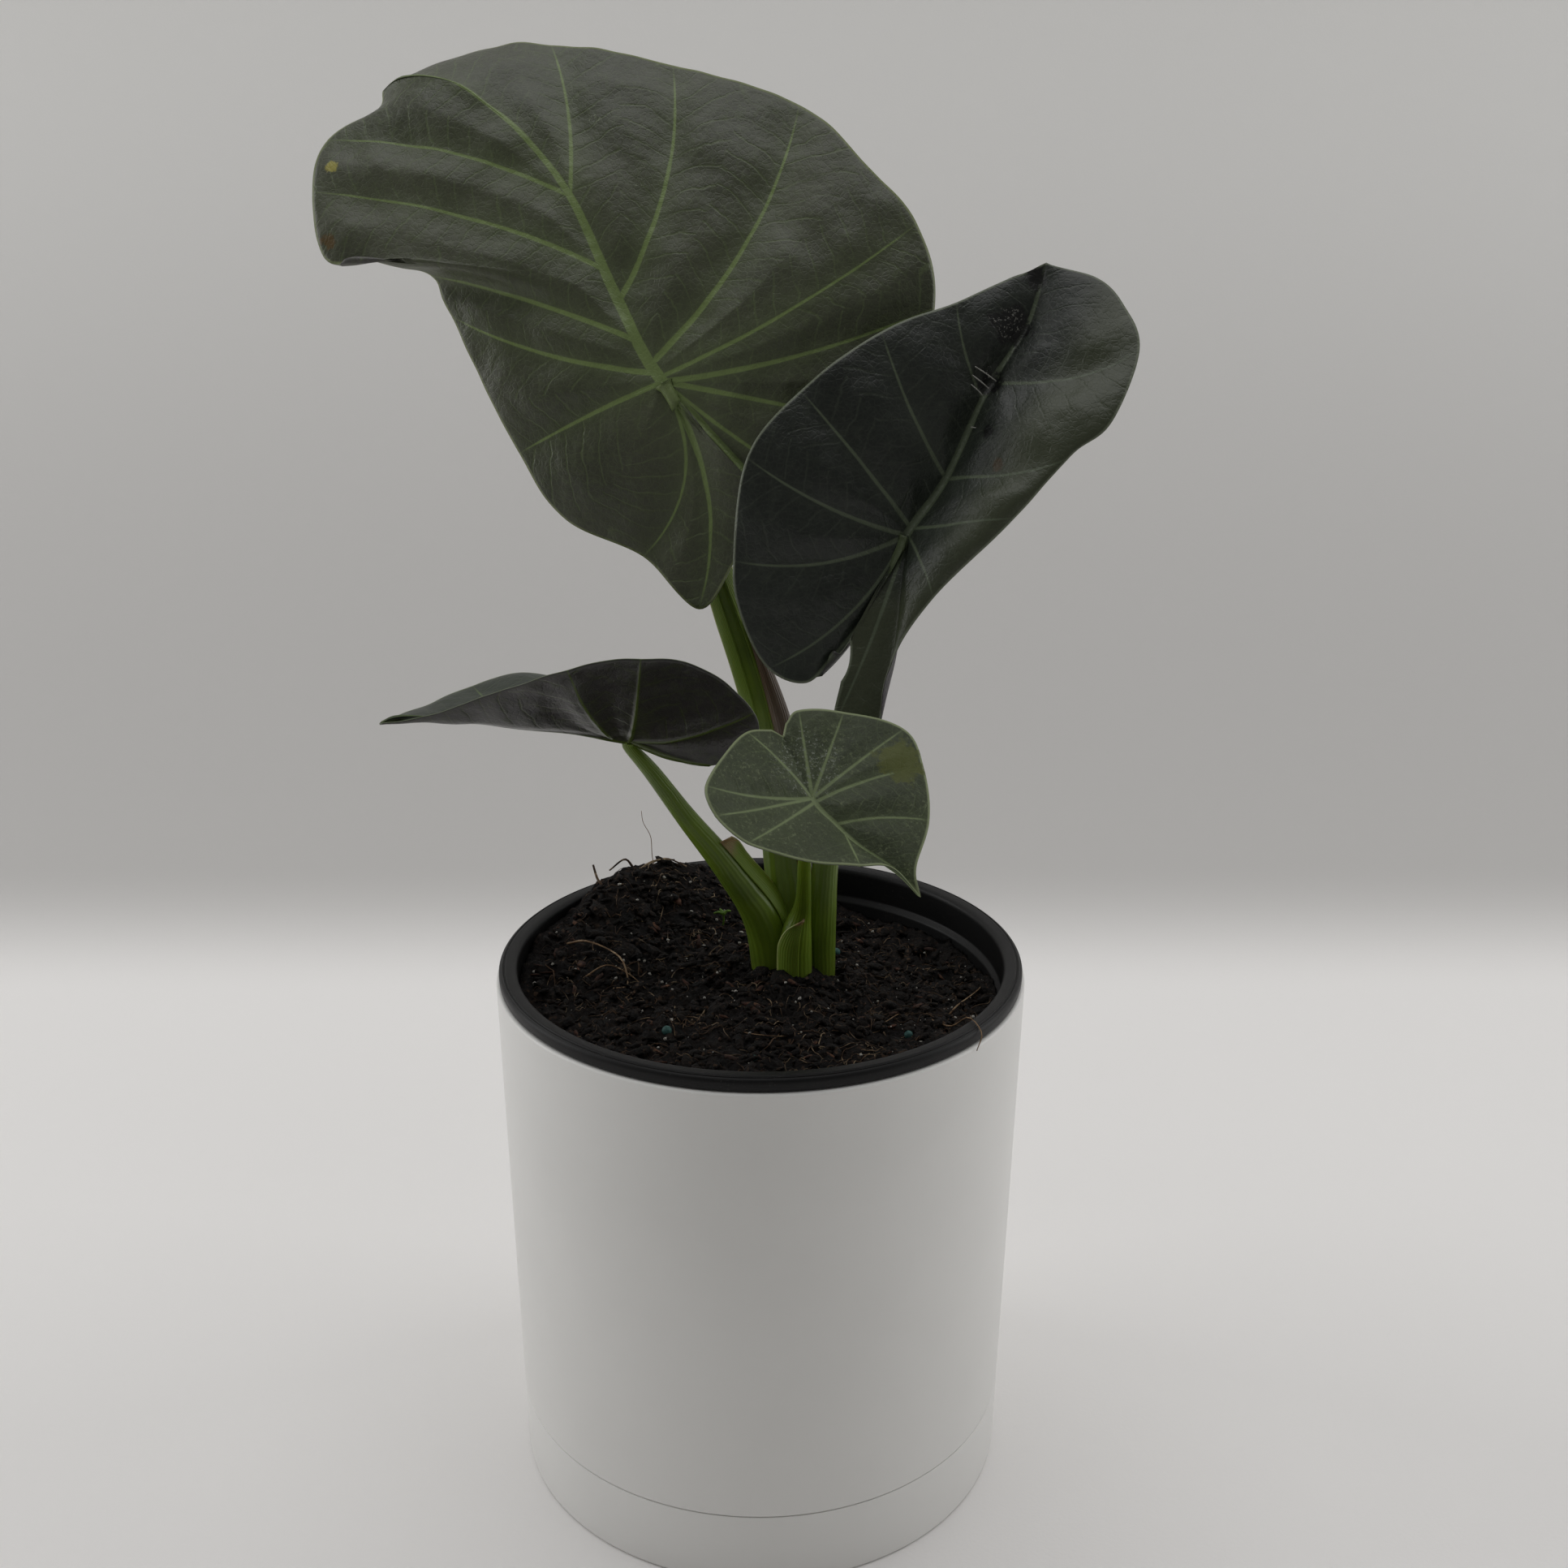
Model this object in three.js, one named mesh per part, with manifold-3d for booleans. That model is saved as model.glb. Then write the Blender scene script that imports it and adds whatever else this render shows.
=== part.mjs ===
// A young alocasia in a grower's pot that hangs by its rolled rim in a white cover pot.
// The cover pot stands on a drip saucer with flush sides. Four petioles and the rolled
// new leaf rise from a rootstock in the soil, and each petiole carries one peltate blade.
// Millimetres, +Z up. The origin is the centre of the saucer's foot.
import * as THREE from "three";
import { LoftGeometry } from "three/addons/geometries/LoftGeometry.js";
import { ParametricGeometry } from "three/addons/geometries/ParametricGeometry.js";
import { mergeVertices } from "three/addons/utils/BufferGeometryUtils.js";
import Module from "manifold-3d";

const wasm = await Module();
wasm.setup();

// ---------------------------------------------------------------- driving sizes
const CLEARANCE = 0.3; // between any two pieces that touch
const POT_SEGMENTS = 40;
const DRAIN_SIDES = 16;
const DRAIN_OVERRUN = 1; // of a drain's cutter past either face of a floor

const COVER_HEIGHT = 171.3; // top of the cover pot's wall above the foot
const COVER_TOP_RADIUS = 83.3;
const FOOT_RADIUS = 80.1;
const COVER_WALL = 3;
const COVER_FLOOR = 3;
const COVER_LIP = 0.6; // chamfer of the wall's top edge
const COVER_DRAIN_RADIUS = 5;
const COVER_DRAIN_RING = 38;
const COVER_DRAINS = 4;

const SAUCER_HEIGHT = 25.1;
const SAUCER_WALL = 2.4;
const SAUCER_FLOOR = 2.5;
const FOOT_CHAMFER = 1;
const SPIGOT_DEPTH = 6; // the cover pot's ring that drops into the saucer
const SPIGOT_WALL = 2;

const RIM_INSET = 0.8; // of the rolled rim inside the cover pot's top edge
const RIM_HEIGHT = 4.3;
const RIM_WIDTH = 6;
const RIM_ROUND = 1.6;
const COLLAR_DEPTH = 12; // from the top of the rim down to the stacking ledge
const LEDGE = 1.6;
const GROWER_WALL = 1.2;
const GROWER_BASE_RADIUS = 58;
const GROWER_BASE_Z = 36;
const GROWER_DRAIN_RADIUS = 4.5;
const GROWER_DRAIN_RING = 42;
const GROWER_DRAINS = 6;

const SOIL_DROP = 9; // mean soil level under the top of the rim
const SOIL_GAP = 0.36; // measured level, so that the slanted gap is CLEARANCE
const SOIL_RINGS = 6;
const SOIL_SQUEEZE = 4; // the levels under a hollow of the soil lie this many times closer
// Swells and hollows of the soil: centre x and y, spread, height.
const SOIL_SWELLS = [
  [-42, 46, 24, 9],
  [-58, 0, 30, 4],
  [-6, -56, 40, 3],
  [56, 22, 34, -7],
  [34, 56, 26, -5],
];

const CROWN = new THREE.Vector2(11, 6); // where the plant comes out of the soil
const ROOTSTOCK_RADIUS = 17;
const ROOTSTOCK_LENGTH = 46;
const ROOTSTOCK_SEGMENTS = 20;
// Shares of the rootstock's radius and length, from its lower end up.
const ROOTSTOCK_PROFILE = [
  [0.35, 0.9],
  [0.8, 0.5],
  [1, 0.12],
];
const CROWN_DEPTH = 9; // of the rootstock's top under the mean soil level
const ROOTS = 6;
const ROOT_TURN = 0.4; // radians, of the first root from +X
const ROOT_START = 4; // from the rootstock's axis
const ROOT_START_DEPTH = 14;
const ROOT_REACH = 34;
const ROOT_FALL = 50;
const ROOT_RADIUS = 2;
const ROOT_TAPER = 0.6; // share of the radius lost along a root
const ROOT_DROOP = 2; // slope of a root's far end
const ROOT_SIDES = 6;
const ROOT_STEPS = 6;

const PLANT_SIZE = 1; // of the leaves and petioles against their tables
const BLADE_THICKNESS = 1.2;
const BLADE_SLICES = 44;
const BLADE_STACKS = 4;
const SINUS_SHARE = 0.1; // of a half blade's rows, those that start behind the junction
const FAN_SHARE = 0.44; // where the rows that fan out of the junction end
const PETIOLE_SIDES = 12;
const PETIOLE_STEPS = 14;
const NECK_SHARE = 0.95; // of a petiole's top radius, just under the blade
const CURVE_TENSION = 0.5;
const MERGE_DISTANCE = 1e-3;
const SLIVER = 0.02; // faces thinner than this are joined to their neighbours

// ---------------------------------------------------------------- derived heights
const RIM_UNDERSIDE = COVER_HEIGHT + CLEARANCE;
const RIM_TOP = RIM_UNDERSIDE + RIM_HEIGHT;
const SOIL_LEVEL = RIM_TOP - SOIL_DROP;
const ROOTSTOCK_TOP = SOIL_LEVEL - CROWN_DEPTH;
const PETIOLE_FOOT = ROOTSTOCK_TOP + CLEARANCE;
const LEDGE_Z = RIM_TOP - COLLAR_DEPTH;
const RIM_RADIUS = COVER_TOP_RADIUS - RIM_INSET;
const RIM_INNER = RIM_RADIUS - RIM_WIDTH;

// ---------------------------------------------------------------- leaves
// A blade lies in its own frame: the petiole joins it at the origin, y runs along the
// midrib to the tip, x to the right as the upper side is seen, z out of the upper side.
// It is placed from the crown by its junction, then turned by heading, climb and bank.
// axis: the sinus notch, the junction and points of the midrib to the tip.
// left, right: ribs from the sinus round to the tip. Each holds the place on the axis
// where it starts, counted in points, then the x, y and z of its end on the margin,
// its sideways bow at mid length and its rise out of the chord there. The ribs that
// start at the junction, place 1, make a fan. The tip itself closes both rows.
const LARGE = {
  name: "large",
  junction: [-40, 12, 185],
  heading: 50,
  climb: 55,
  bank: -51,
  axis: [
    [12, -44, -3], [0, 0, 0], [-1, 28, 0], [0, 63, 0],
    [-5, 88, -1], [-16, 112, -3], [-29, 124, -8], [-38, 126, -14],
  ],
  left: [
    [0, -5, -56, -8, 0, 0],
    [1, -21, -63, -12, -8, 0],
    [1, -29, -41, -13, -10, 1],
    [1, -45, -20, -14, -3, 2],
    [1, -49, 4, -11, 0, 3],
    [1.1, -49, 50, -7, -4, 3],
    [1.5, -49, 63, -5, 1, 3],
    [1.9, -63, 73, 3, 3, 2],
    [2.1, -74, 80, 3, 4, 2],
    [2.3, -69, 101, 0, 4, 2],
    [3, -59, 116, -5, 4, 2],
    [5, -42, 119, -10, 1, 1],
  ],
  right: [
    [0, 17, -60, -7, 0, 0],
    [1, 22, -72, -9, 0, 0],
    [1, 36, -62, -8, -2, 1],
    [1, 56, -44, -5, 0, 2],
    [1, 81, -17, -2, -4, 3],
    [1.05, 87, 7, 0, -4, 4],
    [1.1, 82, 29, -2, -6, 4],
    [1.2, 73, 58, -8, -8, 4],
    [2, 45, 89, -12, -7, 4],
    [3, 15, 115, -16, -3, 2],
    [4.5, -3, 123, -16, 0, 1],
    [6, -24, 126, -15, 0, 0],
  ],
  neck: 9,
  petiole: [
    [0, 5, 0, 6.5],
    [-2, 6, 20, 7],
    [-5, 8, 48, 6.4],
    [-11, 10, 86, 5.4],
    [-24, 14, 126, 4.4],
    [-36, 17, 160, 3.6],
  ],
  topRadius: 3.4,
};

const RIGHT = {
  name: "right",
  junction: [31, -15, 145],
  heading: -60,
  climb: 56,
  bank: 63,
  axis: [
    [0, -34, 0], [0, 0, 0], [2, 20, 0], [0, 48, 0], [1, 70, 0], [-3, 88, 0],
  ],
  left: [
    [0, -1, -40, -3, 0, 0],
    [1, -4, -51, -4, -3, 0],
    [1, -16, -53, -4, -5, 1],
    [1, -30, -44, -4, 0, 2],
    [1, -40, -31, -3, -6, 2],
    [1, -51, -4, 1, -3, 3],
    [1.1, -47, 20, 2, 0, 3],
    [2, -35, 46, 2, -2, 3],
    [2.9, -20, 65, 0, -2, 2],
    [4.2, -12, 76, -1, 0, 1],
  ],
  right: [
    [0, 4, -46, 1, 1, 0],
    [1, 8, -57, 1, 1, 1],
    [1, 19, -54, 3, 1, 2],
    [1, 12, -36, 8, 1, 3],
    [1, 13, -14, 15, 0, 4],
    [1.1, 21, 16, 22, 0, 6],
    [2, 26, 38, 25, -2, 6],
    [2.6, 31, 52, 26, -2, 6],
    [3.1, 29, 75, 20, -4, 5],
    [4, 20, 86, 12, -2, 3],
    [4.6, 11, 90, 6, 0, 1],
  ],
  neck: 8,
  petiole: [
    [9, 1, 0, 4.2],
    [9, 1, 18, 4.4],
    [10, 1, 42, 4],
    [16, 0, 76, 3.6],
    [22, -1, 100, 3.2],
    [28, -4, 128, 2.8],
  ],
  topRadius: 2.6,
};

const LEFT = {
  name: "left",
  junction: [-51, -4, 80],
  heading: 90,
  climb: 0,
  bank: 0,
  axis: [
    [-1, -6, 0], [0, 0, 0], [-2, 18, 4], [-5, 42, 7], [-8, 66, 10], [-9, 74, 8],
  ],
  left: [
    [0, -6, -16, -1, 0, 0],
    [1, -10, -26, -5, 0, -1],
    [1, -16, -38, 3, 0, -2],
    [1, -20, -38, 15, 0, -3],
    [1, -28, -24, 30, 0, -4],
    [1, -31, -6, 34, 0, -4],
    [1.3, -28, 15, 30, 0, -4],
    [2.2, -18, 40, 19, 0, -3],
    [3.2, -11, 59, 11, 0, -1],
  ],
  right: [
    [0, 6, -13, -1, 0, 0],
    [1, 12, -20, 1, 0, 0],
    [1, 20, -22, 5, 0, 0],
    [1, 29, -11, 8, 0, 1],
    [1, 33, 8, 10, 0, 1],
    [1.5, 31, 24, 11, 0, 1],
    [2.2, 27, 36, 13, 0, 1],
    [2.8, 18, 50, 12, 0, 0],
    [3.6, 6, 61, 10, 0, 0],
  ],
  neck: 3,
  petiole: [
    [-6, 0, 0, 7],
    [-9, -2, 18, 7],
    [-17, -4, 36, 5.4],
    [-29, -4, 54, 3.8],
    [-41, -4, 70, 3.2],
  ],
  topRadius: 2.8,
};

const FRONT = {
  name: "front",
  junction: [3, -66, 83],
  heading: -123,
  climb: -32,
  bank: 29,
  axis: [
    [-8, -19, 0], [0, 0, 0], [1, 10, 0], [1, 19, 0], [-1, 31, 0], [-1, 40, -2],
  ],
  left: [
    [0, -11, -21, 1, 0, 0],
    [1, -16, -21, 3, 0, 0],
    [1, -25, -12, 3, 0, 0],
    [1, -34, 3, 3, 0, 1],
    [1.1, -29, 15, 3, -1, 1],
    [2, -18, 27, 2, -1, 1],
    [3.6, -5, 34, 1, 0, 0],
  ],
  right: [
    [0, -6, -22, 2, 0, 0],
    [1, 1, -25, 5, -1, 0],
    [1, 12, -23, 9, 0, 0],
    [1, 25, -18, 13, 1, -1],
    [1, 29, -10, 13, 0, -1],
    [1.1, 28, 1, 12, 0, -1],
    [1.7, 18, 15, 8, 0, -1],
    [2.4, 8, 24, 5, 0, 0],
    [4, 0, 30, 2, 0, 0],
  ],
  neck: 5,
  petiole: [
    [0, -6, 0, 5.4],
    [0, -7, 14, 5],
    [2, -11, 28, 2.6],
    [2, -27, 48, 2],
    [2, -48, 67, 1.8],
  ],
  topRadius: 1.8,
};

// The rolled new leaf: offsets from the crown and radius, foot to tip.
const SPEAR_PATH = [
  [3, 4, 30, 2.6],
  [-0.5, 5, 52, 3.2],
  [-5.5, 7, 76, 3.2],
  [-11.5, 9, 96, 2.2],
  [-16.5, 11, 110, 0.7],
];

// Rows of a table at the plant's size. Their first fixed values are counts, not lengths.
function grownRows(rows, fixed = 0) {
  return rows.map((row) => row.map((value, i) => (i < fixed ? value : value * PLANT_SIZE)));
}

function grown(leaf) {
  return {
    ...leaf,
    junction: leaf.junction.map((value) => value * PLANT_SIZE),
    axis: grownRows(leaf.axis),
    left: grownRows(leaf.left, 1),
    right: grownRows(leaf.right, 1),
    neck: leaf.neck * PLANT_SIZE,
    petiole: grownRows(leaf.petiole),
    topRadius: leaf.topRadius * PLANT_SIZE,
  };
}

// Innermost sheath first.
const LEAVES = [LARGE, RIGHT, LEFT, FRONT].map(grown);

// ---------------------------------------------------------------- solids
function positionsOnly(geometry) {
  const plain = new THREE.BufferGeometry();
  plain.setAttribute("position", geometry.attributes.position);
  plain.setIndex(geometry.index);
  return mergeVertices(plain, MERGE_DISTANCE);
}

function solidFrom(geometry) {
  const merged = positionsOnly(geometry);
  return new wasm.Manifold(
    new wasm.Mesh({
      numProp: 3,
      vertProperties: merged.attributes.position.array,
      triVerts: new Uint32Array(merged.index.array),
    }),
  );
}

function geometryFrom(solid) {
  const mesh = solid.simplify(SLIVER).getMesh();
  const geometry = new THREE.BufferGeometry();
  geometry.setAttribute("position", new THREE.BufferAttribute(mesh.vertProperties, 3));
  geometry.setIndex(new THREE.BufferAttribute(mesh.triVerts, 1));
  geometry.computeVertexNormals();
  return geometry;
}

// A profile of [radius, height] pairs, from the axis round to the axis again,
// turned about Z.
function turned(profile, segments = POT_SEGMENTS) {
  const points = profile.map(([radius, height]) => new THREE.Vector2(radius, height));
  return new THREE.LatheGeometry(points, segments).rotateX(Math.PI / 2);
}

function drainHoles(count, ringRadius, radius, floorBottom, floorTop) {
  const bottom = floorBottom - DRAIN_OVERRUN;
  const top = floorTop + DRAIN_OVERRUN;
  const cutter = new THREE.CylinderGeometry(radius, radius, top - bottom, DRAIN_SIDES);
  cutter.rotateX(Math.PI / 2);
  return Array.from({ length: count }, (_, i) => {
    const angle = (2 * Math.PI * (i + 0.5)) / count;
    const x = ringRadius * Math.cos(angle);
    const y = ringRadius * Math.sin(angle);
    return solidFrom(cutter.clone().translate(x, y, (top + bottom) / 2));
  });
}

function cut(solid, cutters) {
  return cutters.reduce((left, cutter) => left.subtract(cutter), solid);
}

// ---------------------------------------------------------------- pots
function coverRadius(z) {
  return FOOT_RADIUS + ((COVER_TOP_RADIUS - FOOT_RADIUS) * z) / COVER_HEIGHT;
}

function dripSaucer() {
  const inner = FOOT_RADIUS - SAUCER_WALL;
  return turned([
    [0, 0],
    [FOOT_RADIUS - FOOT_CHAMFER, 0],
    [FOOT_RADIUS, FOOT_CHAMFER],
    [coverRadius(SAUCER_HEIGHT), SAUCER_HEIGHT],
    [inner, SAUCER_HEIGHT],
    [inner, SAUCER_FLOOR],
    [0, SAUCER_FLOOR],
  ]);
}

function coverPot() {
  const seam = SAUCER_HEIGHT + CLEARANCE;
  const spigot = FOOT_RADIUS - SAUCER_WALL - CLEARANCE;
  const floorTop = seam + COVER_FLOOR;
  const profile = [
    [0, seam],
    [spigot - SPIGOT_WALL, seam],
    [spigot - SPIGOT_WALL, seam - SPIGOT_DEPTH],
    [spigot, seam - SPIGOT_DEPTH],
    [spigot, seam],
    [coverRadius(seam), seam],
    [COVER_TOP_RADIUS, COVER_HEIGHT - COVER_LIP],
    [COVER_TOP_RADIUS - COVER_LIP, COVER_HEIGHT],
    [COVER_TOP_RADIUS - COVER_WALL, COVER_HEIGHT],
    [coverRadius(floorTop) - COVER_WALL, floorTop],
    [0, floorTop],
  ];
  const holes = drainHoles(
    COVER_DRAINS, COVER_DRAIN_RING, COVER_DRAIN_RADIUS, seam, floorTop,
  );
  return geometryFrom(cut(solidFrom(turned(profile)), holes));
}

// The inner wall of the grower's pot: below the ledge it tapers, above it is a collar.
function growerInner(z) {
  const floorTop = GROWER_BASE_Z + GROWER_WALL;
  const share = (z - floorTop) / (LEDGE_Z - floorTop);
  const base = GROWER_BASE_RADIUS - GROWER_WALL;
  return base + (RIM_INNER - LEDGE - base) * Math.min(share, 1);
}

function soilRadius(z) {
  return (z > LEDGE_Z + LEDGE ? RIM_INNER : growerInner(z)) - SOIL_GAP;
}

function nurseryPot() {
  const collar = RIM_INNER + GROWER_WALL;
  const profile = [
    [0, GROWER_BASE_Z],
    [GROWER_BASE_RADIUS, GROWER_BASE_Z],
    [collar - LEDGE, LEDGE_Z - LEDGE],
    [collar, LEDGE_Z],
    [collar, RIM_UNDERSIDE],
    [RIM_RADIUS, RIM_UNDERSIDE],
    [RIM_RADIUS, RIM_TOP - RIM_ROUND],
    [RIM_RADIUS - RIM_ROUND, RIM_TOP],
    [RIM_INNER + RIM_ROUND, RIM_TOP],
    [RIM_INNER, RIM_TOP - RIM_ROUND],
    [RIM_INNER, LEDGE_Z + LEDGE],
    [growerInner(LEDGE_Z), LEDGE_Z],
    [growerInner(GROWER_BASE_Z), GROWER_BASE_Z + GROWER_WALL],
    [0, GROWER_BASE_Z + GROWER_WALL],
  ];
  const holes = drainHoles(
    GROWER_DRAINS, GROWER_DRAIN_RING, GROWER_DRAIN_RADIUS,
    GROWER_BASE_Z, GROWER_BASE_Z + GROWER_WALL,
  );
  return geometryFrom(cut(solidFrom(turned(profile)), holes));
}

// ---------------------------------------------------------------- soil and rootstock
function soilHeight(x, y) {
  return SOIL_SWELLS.reduce((height, [cx, cy, spread, rise]) => {
    const away = ((x - cx) ** 2 + (y - cy) ** 2) / spread ** 2;
    return height + rise * Math.exp(-away);
  }, SOIL_LEVEL);
}

function soilBody() {
  const bottom = GROWER_BASE_Z + GROWER_WALL + CLEARANCE;
  const profile = [
    [0, bottom],
    [soilRadius(bottom), bottom],
    [soilRadius(LEDGE_Z - LEDGE), LEDGE_Z - LEDGE],
    [soilRadius(LEDGE_Z), LEDGE_Z],
  ];
  const edge = soilRadius(SOIL_LEVEL);
  for (let i = SOIL_RINGS; i >= 0; i--) profile.push([(edge * i) / SOIL_RINGS, SOIL_LEVEL]);
  const outside = (edge * (SOIL_RINGS - 0.5)) / SOIL_RINGS; // between the last two rings
  const geometry = turned(profile);
  const position = geometry.attributes.position;
  for (let i = 0; i < position.count; i++) {
    const [x, y, z] = [position.getX(i), position.getY(i), position.getZ(i)];
    const radius = Math.hypot(x, y);
    const height = soilHeight(x, y);
    const under = Math.min(z, height - (SOIL_LEVEL - z) / SOIL_SQUEEZE);
    const sunk = z < SOIL_LEVEL - CLEARANCE ? under : height;
    const share = radius < outside ? 1 : soilRadius(sunk) / radius;
    position.setXYZ(i, x * share, y * share, z > bottom ? sunk : z);
  }
  return solidFrom(geometry);
}

function rootTube(angle, grow) {
  const sections = [];
  for (let step = 0; step <= ROOT_STEPS; step++) {
    const share = step / ROOT_STEPS;
    const reach = ROOT_START + (ROOT_REACH - ROOT_START) * share;
    const centre = new THREE.Vector3(
      CROWN.x + reach * Math.cos(angle),
      CROWN.y + reach * Math.sin(angle),
      ROOTSTOCK_TOP - ROOT_START_DEPTH - ROOT_FALL * share * share,
    );
    const outward = new THREE.Vector3(Math.cos(angle), Math.sin(angle), -ROOT_DROOP * share);
    const level = new THREE.Vector3(-Math.sin(angle), Math.cos(angle), 0);
    outward.normalize();
    if (step === ROOT_STEPS) centre.addScaledVector(outward, grow);
    const radius = ROOT_RADIUS * (1 - ROOT_TAPER * share) + grow;
    sections.push(ring(centre, outward, level, radius, ROOT_SIDES));
  }
  return loftSolid(sections);
}

function rootstock(grow = 0) {
  const profile = [
    [0, -ROOTSTOCK_LENGTH - grow],
    ...ROOTSTOCK_PROFILE.map(([wide, deep]) => [
      ROOTSTOCK_RADIUS * wide + grow,
      -ROOTSTOCK_LENGTH * deep - grow,
    ]),
    [ROOTSTOCK_RADIUS + grow, grow],
    [0, grow],
  ];
  const body = turned(profile, ROOTSTOCK_SEGMENTS).translate(CROWN.x, CROWN.y, ROOTSTOCK_TOP);
  let solid = solidFrom(body);
  for (let i = 0; i < ROOTS; i++) {
    solid = solid.add(rootTube((2 * Math.PI * i) / ROOTS + ROOT_TURN, grow));
  }
  return solid;
}

// ---------------------------------------------------------------- petioles
// Points round a centre, square to the direction. The first lies towards the given side.
function ring(centre, direction, side, radius, sides) {
  const across = side.clone().addScaledVector(direction, -side.dot(direction)).normalize();
  const along = new THREE.Vector3().crossVectors(direction, across);
  return Array.from({ length: sides }, (_, i) => {
    const angle = (2 * Math.PI * i) / sides;
    return centre
      .clone()
      .addScaledVector(across, radius * Math.cos(angle))
      .addScaledVector(along, radius * Math.sin(angle));
  });
}

function loftSolid(sections) {
  return solidFrom(new LoftGeometry(sections, { capStart: true, capEnd: true }));
}

function fromCrown([x, y, z]) {
  return new THREE.Vector3(CROWN.x + x, CROWN.y + y, SOIL_LEVEL + z);
}

// A tapered stem through points with radii. Its first section lies level, and its last
// one faces the end direction.
function stemSolid(points, radii, endDirection, grow = 0) {
  const curve = new THREE.CatmullRomCurve3(points);
  const side = new THREE.Vector3(1, 0, 0);
  const sections = [];
  for (let step = 0; step <= PETIOLE_STEPS; step++) {
    const share = step / PETIOLE_STEPS;
    const knot = share * (radii.length - 1);
    const lower = Math.min(Math.floor(knot), radii.length - 2);
    const radius = THREE.MathUtils.lerp(radii[lower], radii[lower + 1], knot - lower);
    let direction = curve.getTangent(share);
    if (step === 0) direction = new THREE.Vector3(0, 0, 1);
    if (step === PETIOLE_STEPS) direction = endDirection;
    sections.push(ring(curve.getPoint(share), direction, side, radius + grow, PETIOLE_SIDES));
  }
  return loftSolid(sections);
}

function petioleSolid(leaf, grow = 0) {
  const turn = bladeMatrix(leaf);
  const normal = new THREE.Vector3(0, 0, 1).transformDirection(turn);
  const junction = new THREE.Vector3().setFromMatrixPosition(turn);
  const seat = BLADE_THICKNESS / 2 + CLEARANCE;
  const points = leaf.petiole.map(([x, y, z]) => fromCrown([x, y, z]));
  points[0].z = PETIOLE_FOOT - grow;
  points.push(junction.clone().addScaledVector(normal, -leaf.neck));
  points.push(junction.clone().addScaledVector(normal, -seat));
  const radii = leaf.petiole.map((station) => station[3]);
  radii.push(leaf.topRadius * NECK_SHARE, leaf.topRadius);
  return stemSolid(points, radii, normal, grow);
}

function spearSolid() {
  const path = grownRows(SPEAR_PATH);
  const points = path.map(fromCrown);
  const radii = path.map((station) => station[3]);
  return stemSolid(points, radii, new THREE.Vector3(0, 0, 1));
}

// ---------------------------------------------------------------- blades
function bladeMatrix(leaf) {
  const degrees = THREE.MathUtils.degToRad;
  const turn = new THREE.Euler(degrees(leaf.climb), degrees(leaf.bank), degrees(leaf.heading), "ZXY");
  return new THREE.Matrix4().makeRotationFromEuler(turn).setPosition(fromCrown(leaf.junction));
}

function smooth(points) {
  const knots = points.map(([x, y, z]) => new THREE.Vector3(x, y, z));
  return new THREE.CatmullRomCurve3(knots, false, "catmullrom", CURVE_TENSION);
}

// The middle control point of a rib: its bow turns towards the tip on either side.
function ribControl(start, [, x, y, z, bow, rise], side) {
  const chord = new THREE.Vector3(x, y, z).sub(start);
  const across = new THREE.Vector3(-chord.y, chord.x, 0).normalize();
  const middle = start.clone().addScaledVector(chord, 0.5);
  middle.addScaledVector(across, 2 * side * bow);
  middle.z += 2 * rise;
  return middle.toArray();
}

// Where a share of the way from the sinus to the tip starts on the axis. Both halves
// use it, so that they meet point to point along the midrib.
function placeOnAxis(share, last) {
  if (share < SINUS_SHARE) return share / SINUS_SHARE;
  if (share < FAN_SHARE) return 1;
  return 1 + (last - 1) * ((share - FAN_SHARE) / (1 - FAN_SHARE)) ** 2;
}

// The same share counted in ribs, whole numbers falling on the ribs themselves.
function placeInRibs(share, ribs) {
  if (share < SINUS_SHARE) return share / SINUS_SHARE;
  const fanEnd = ribs.findLastIndex((rib) => rib[0] === 1);
  if (share < FAN_SHARE) {
    return 1 + ((fanEnd - 1) * (share - SINUS_SHARE)) / (FAN_SHARE - SINUS_SHARE);
  }
  const place = placeOnAxis(share, ribs.at(-1)[0]);
  const next = ribs.findIndex((rib) => rib[0] > 1 && rib[0] >= place - MERGE_DISTANCE);
  const [before, after] = [ribs[next - 1][0], ribs[next][0]];
  return next - (after - place) / (after - before);
}

function halfBlade(leaf, side) {
  const last = leaf.axis.length - 1;
  const ribs = [...(side < 0 ? leaf.left : leaf.right), [last, ...leaf.axis[last], 0, 0]];
  const axis = smooth(leaf.axis);
  const onAxis = (place) => axis.getPoint(place / last);
  const ends = smooth(ribs.map((rib) => rib.slice(1, 4)));
  const controls = smooth(ribs.map((rib) => ribControl(onAxis(rib[0]), rib, side)));
  return (share, out, target) => {
    const around = placeInRibs(share, ribs) / (ribs.length - 1);
    const start = onAxis(placeOnAxis(share, last));
    const curve = new THREE.QuadraticBezierCurve3(
      start, controls.getPoint(around), ends.getPoint(around),
    );
    return curve.getPoint(out, target);
  };
}

// One sheet of faces, left sinus edge round the tip to the right sinus edge.
function bladeSheet(leaf) {
  const left = halfBlade(leaf, -1);
  const right = halfBlade(leaf, 1);
  const surface = (u, v, target) => {
    if (u < 0.5) left(2 * u, v, target);
    else right(2 * (1 - u), v, target);
  };
  const sheet = new ParametricGeometry(surface, BLADE_SLICES, BLADE_STACKS);
  return positionsOnly(sheet);
}

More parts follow.
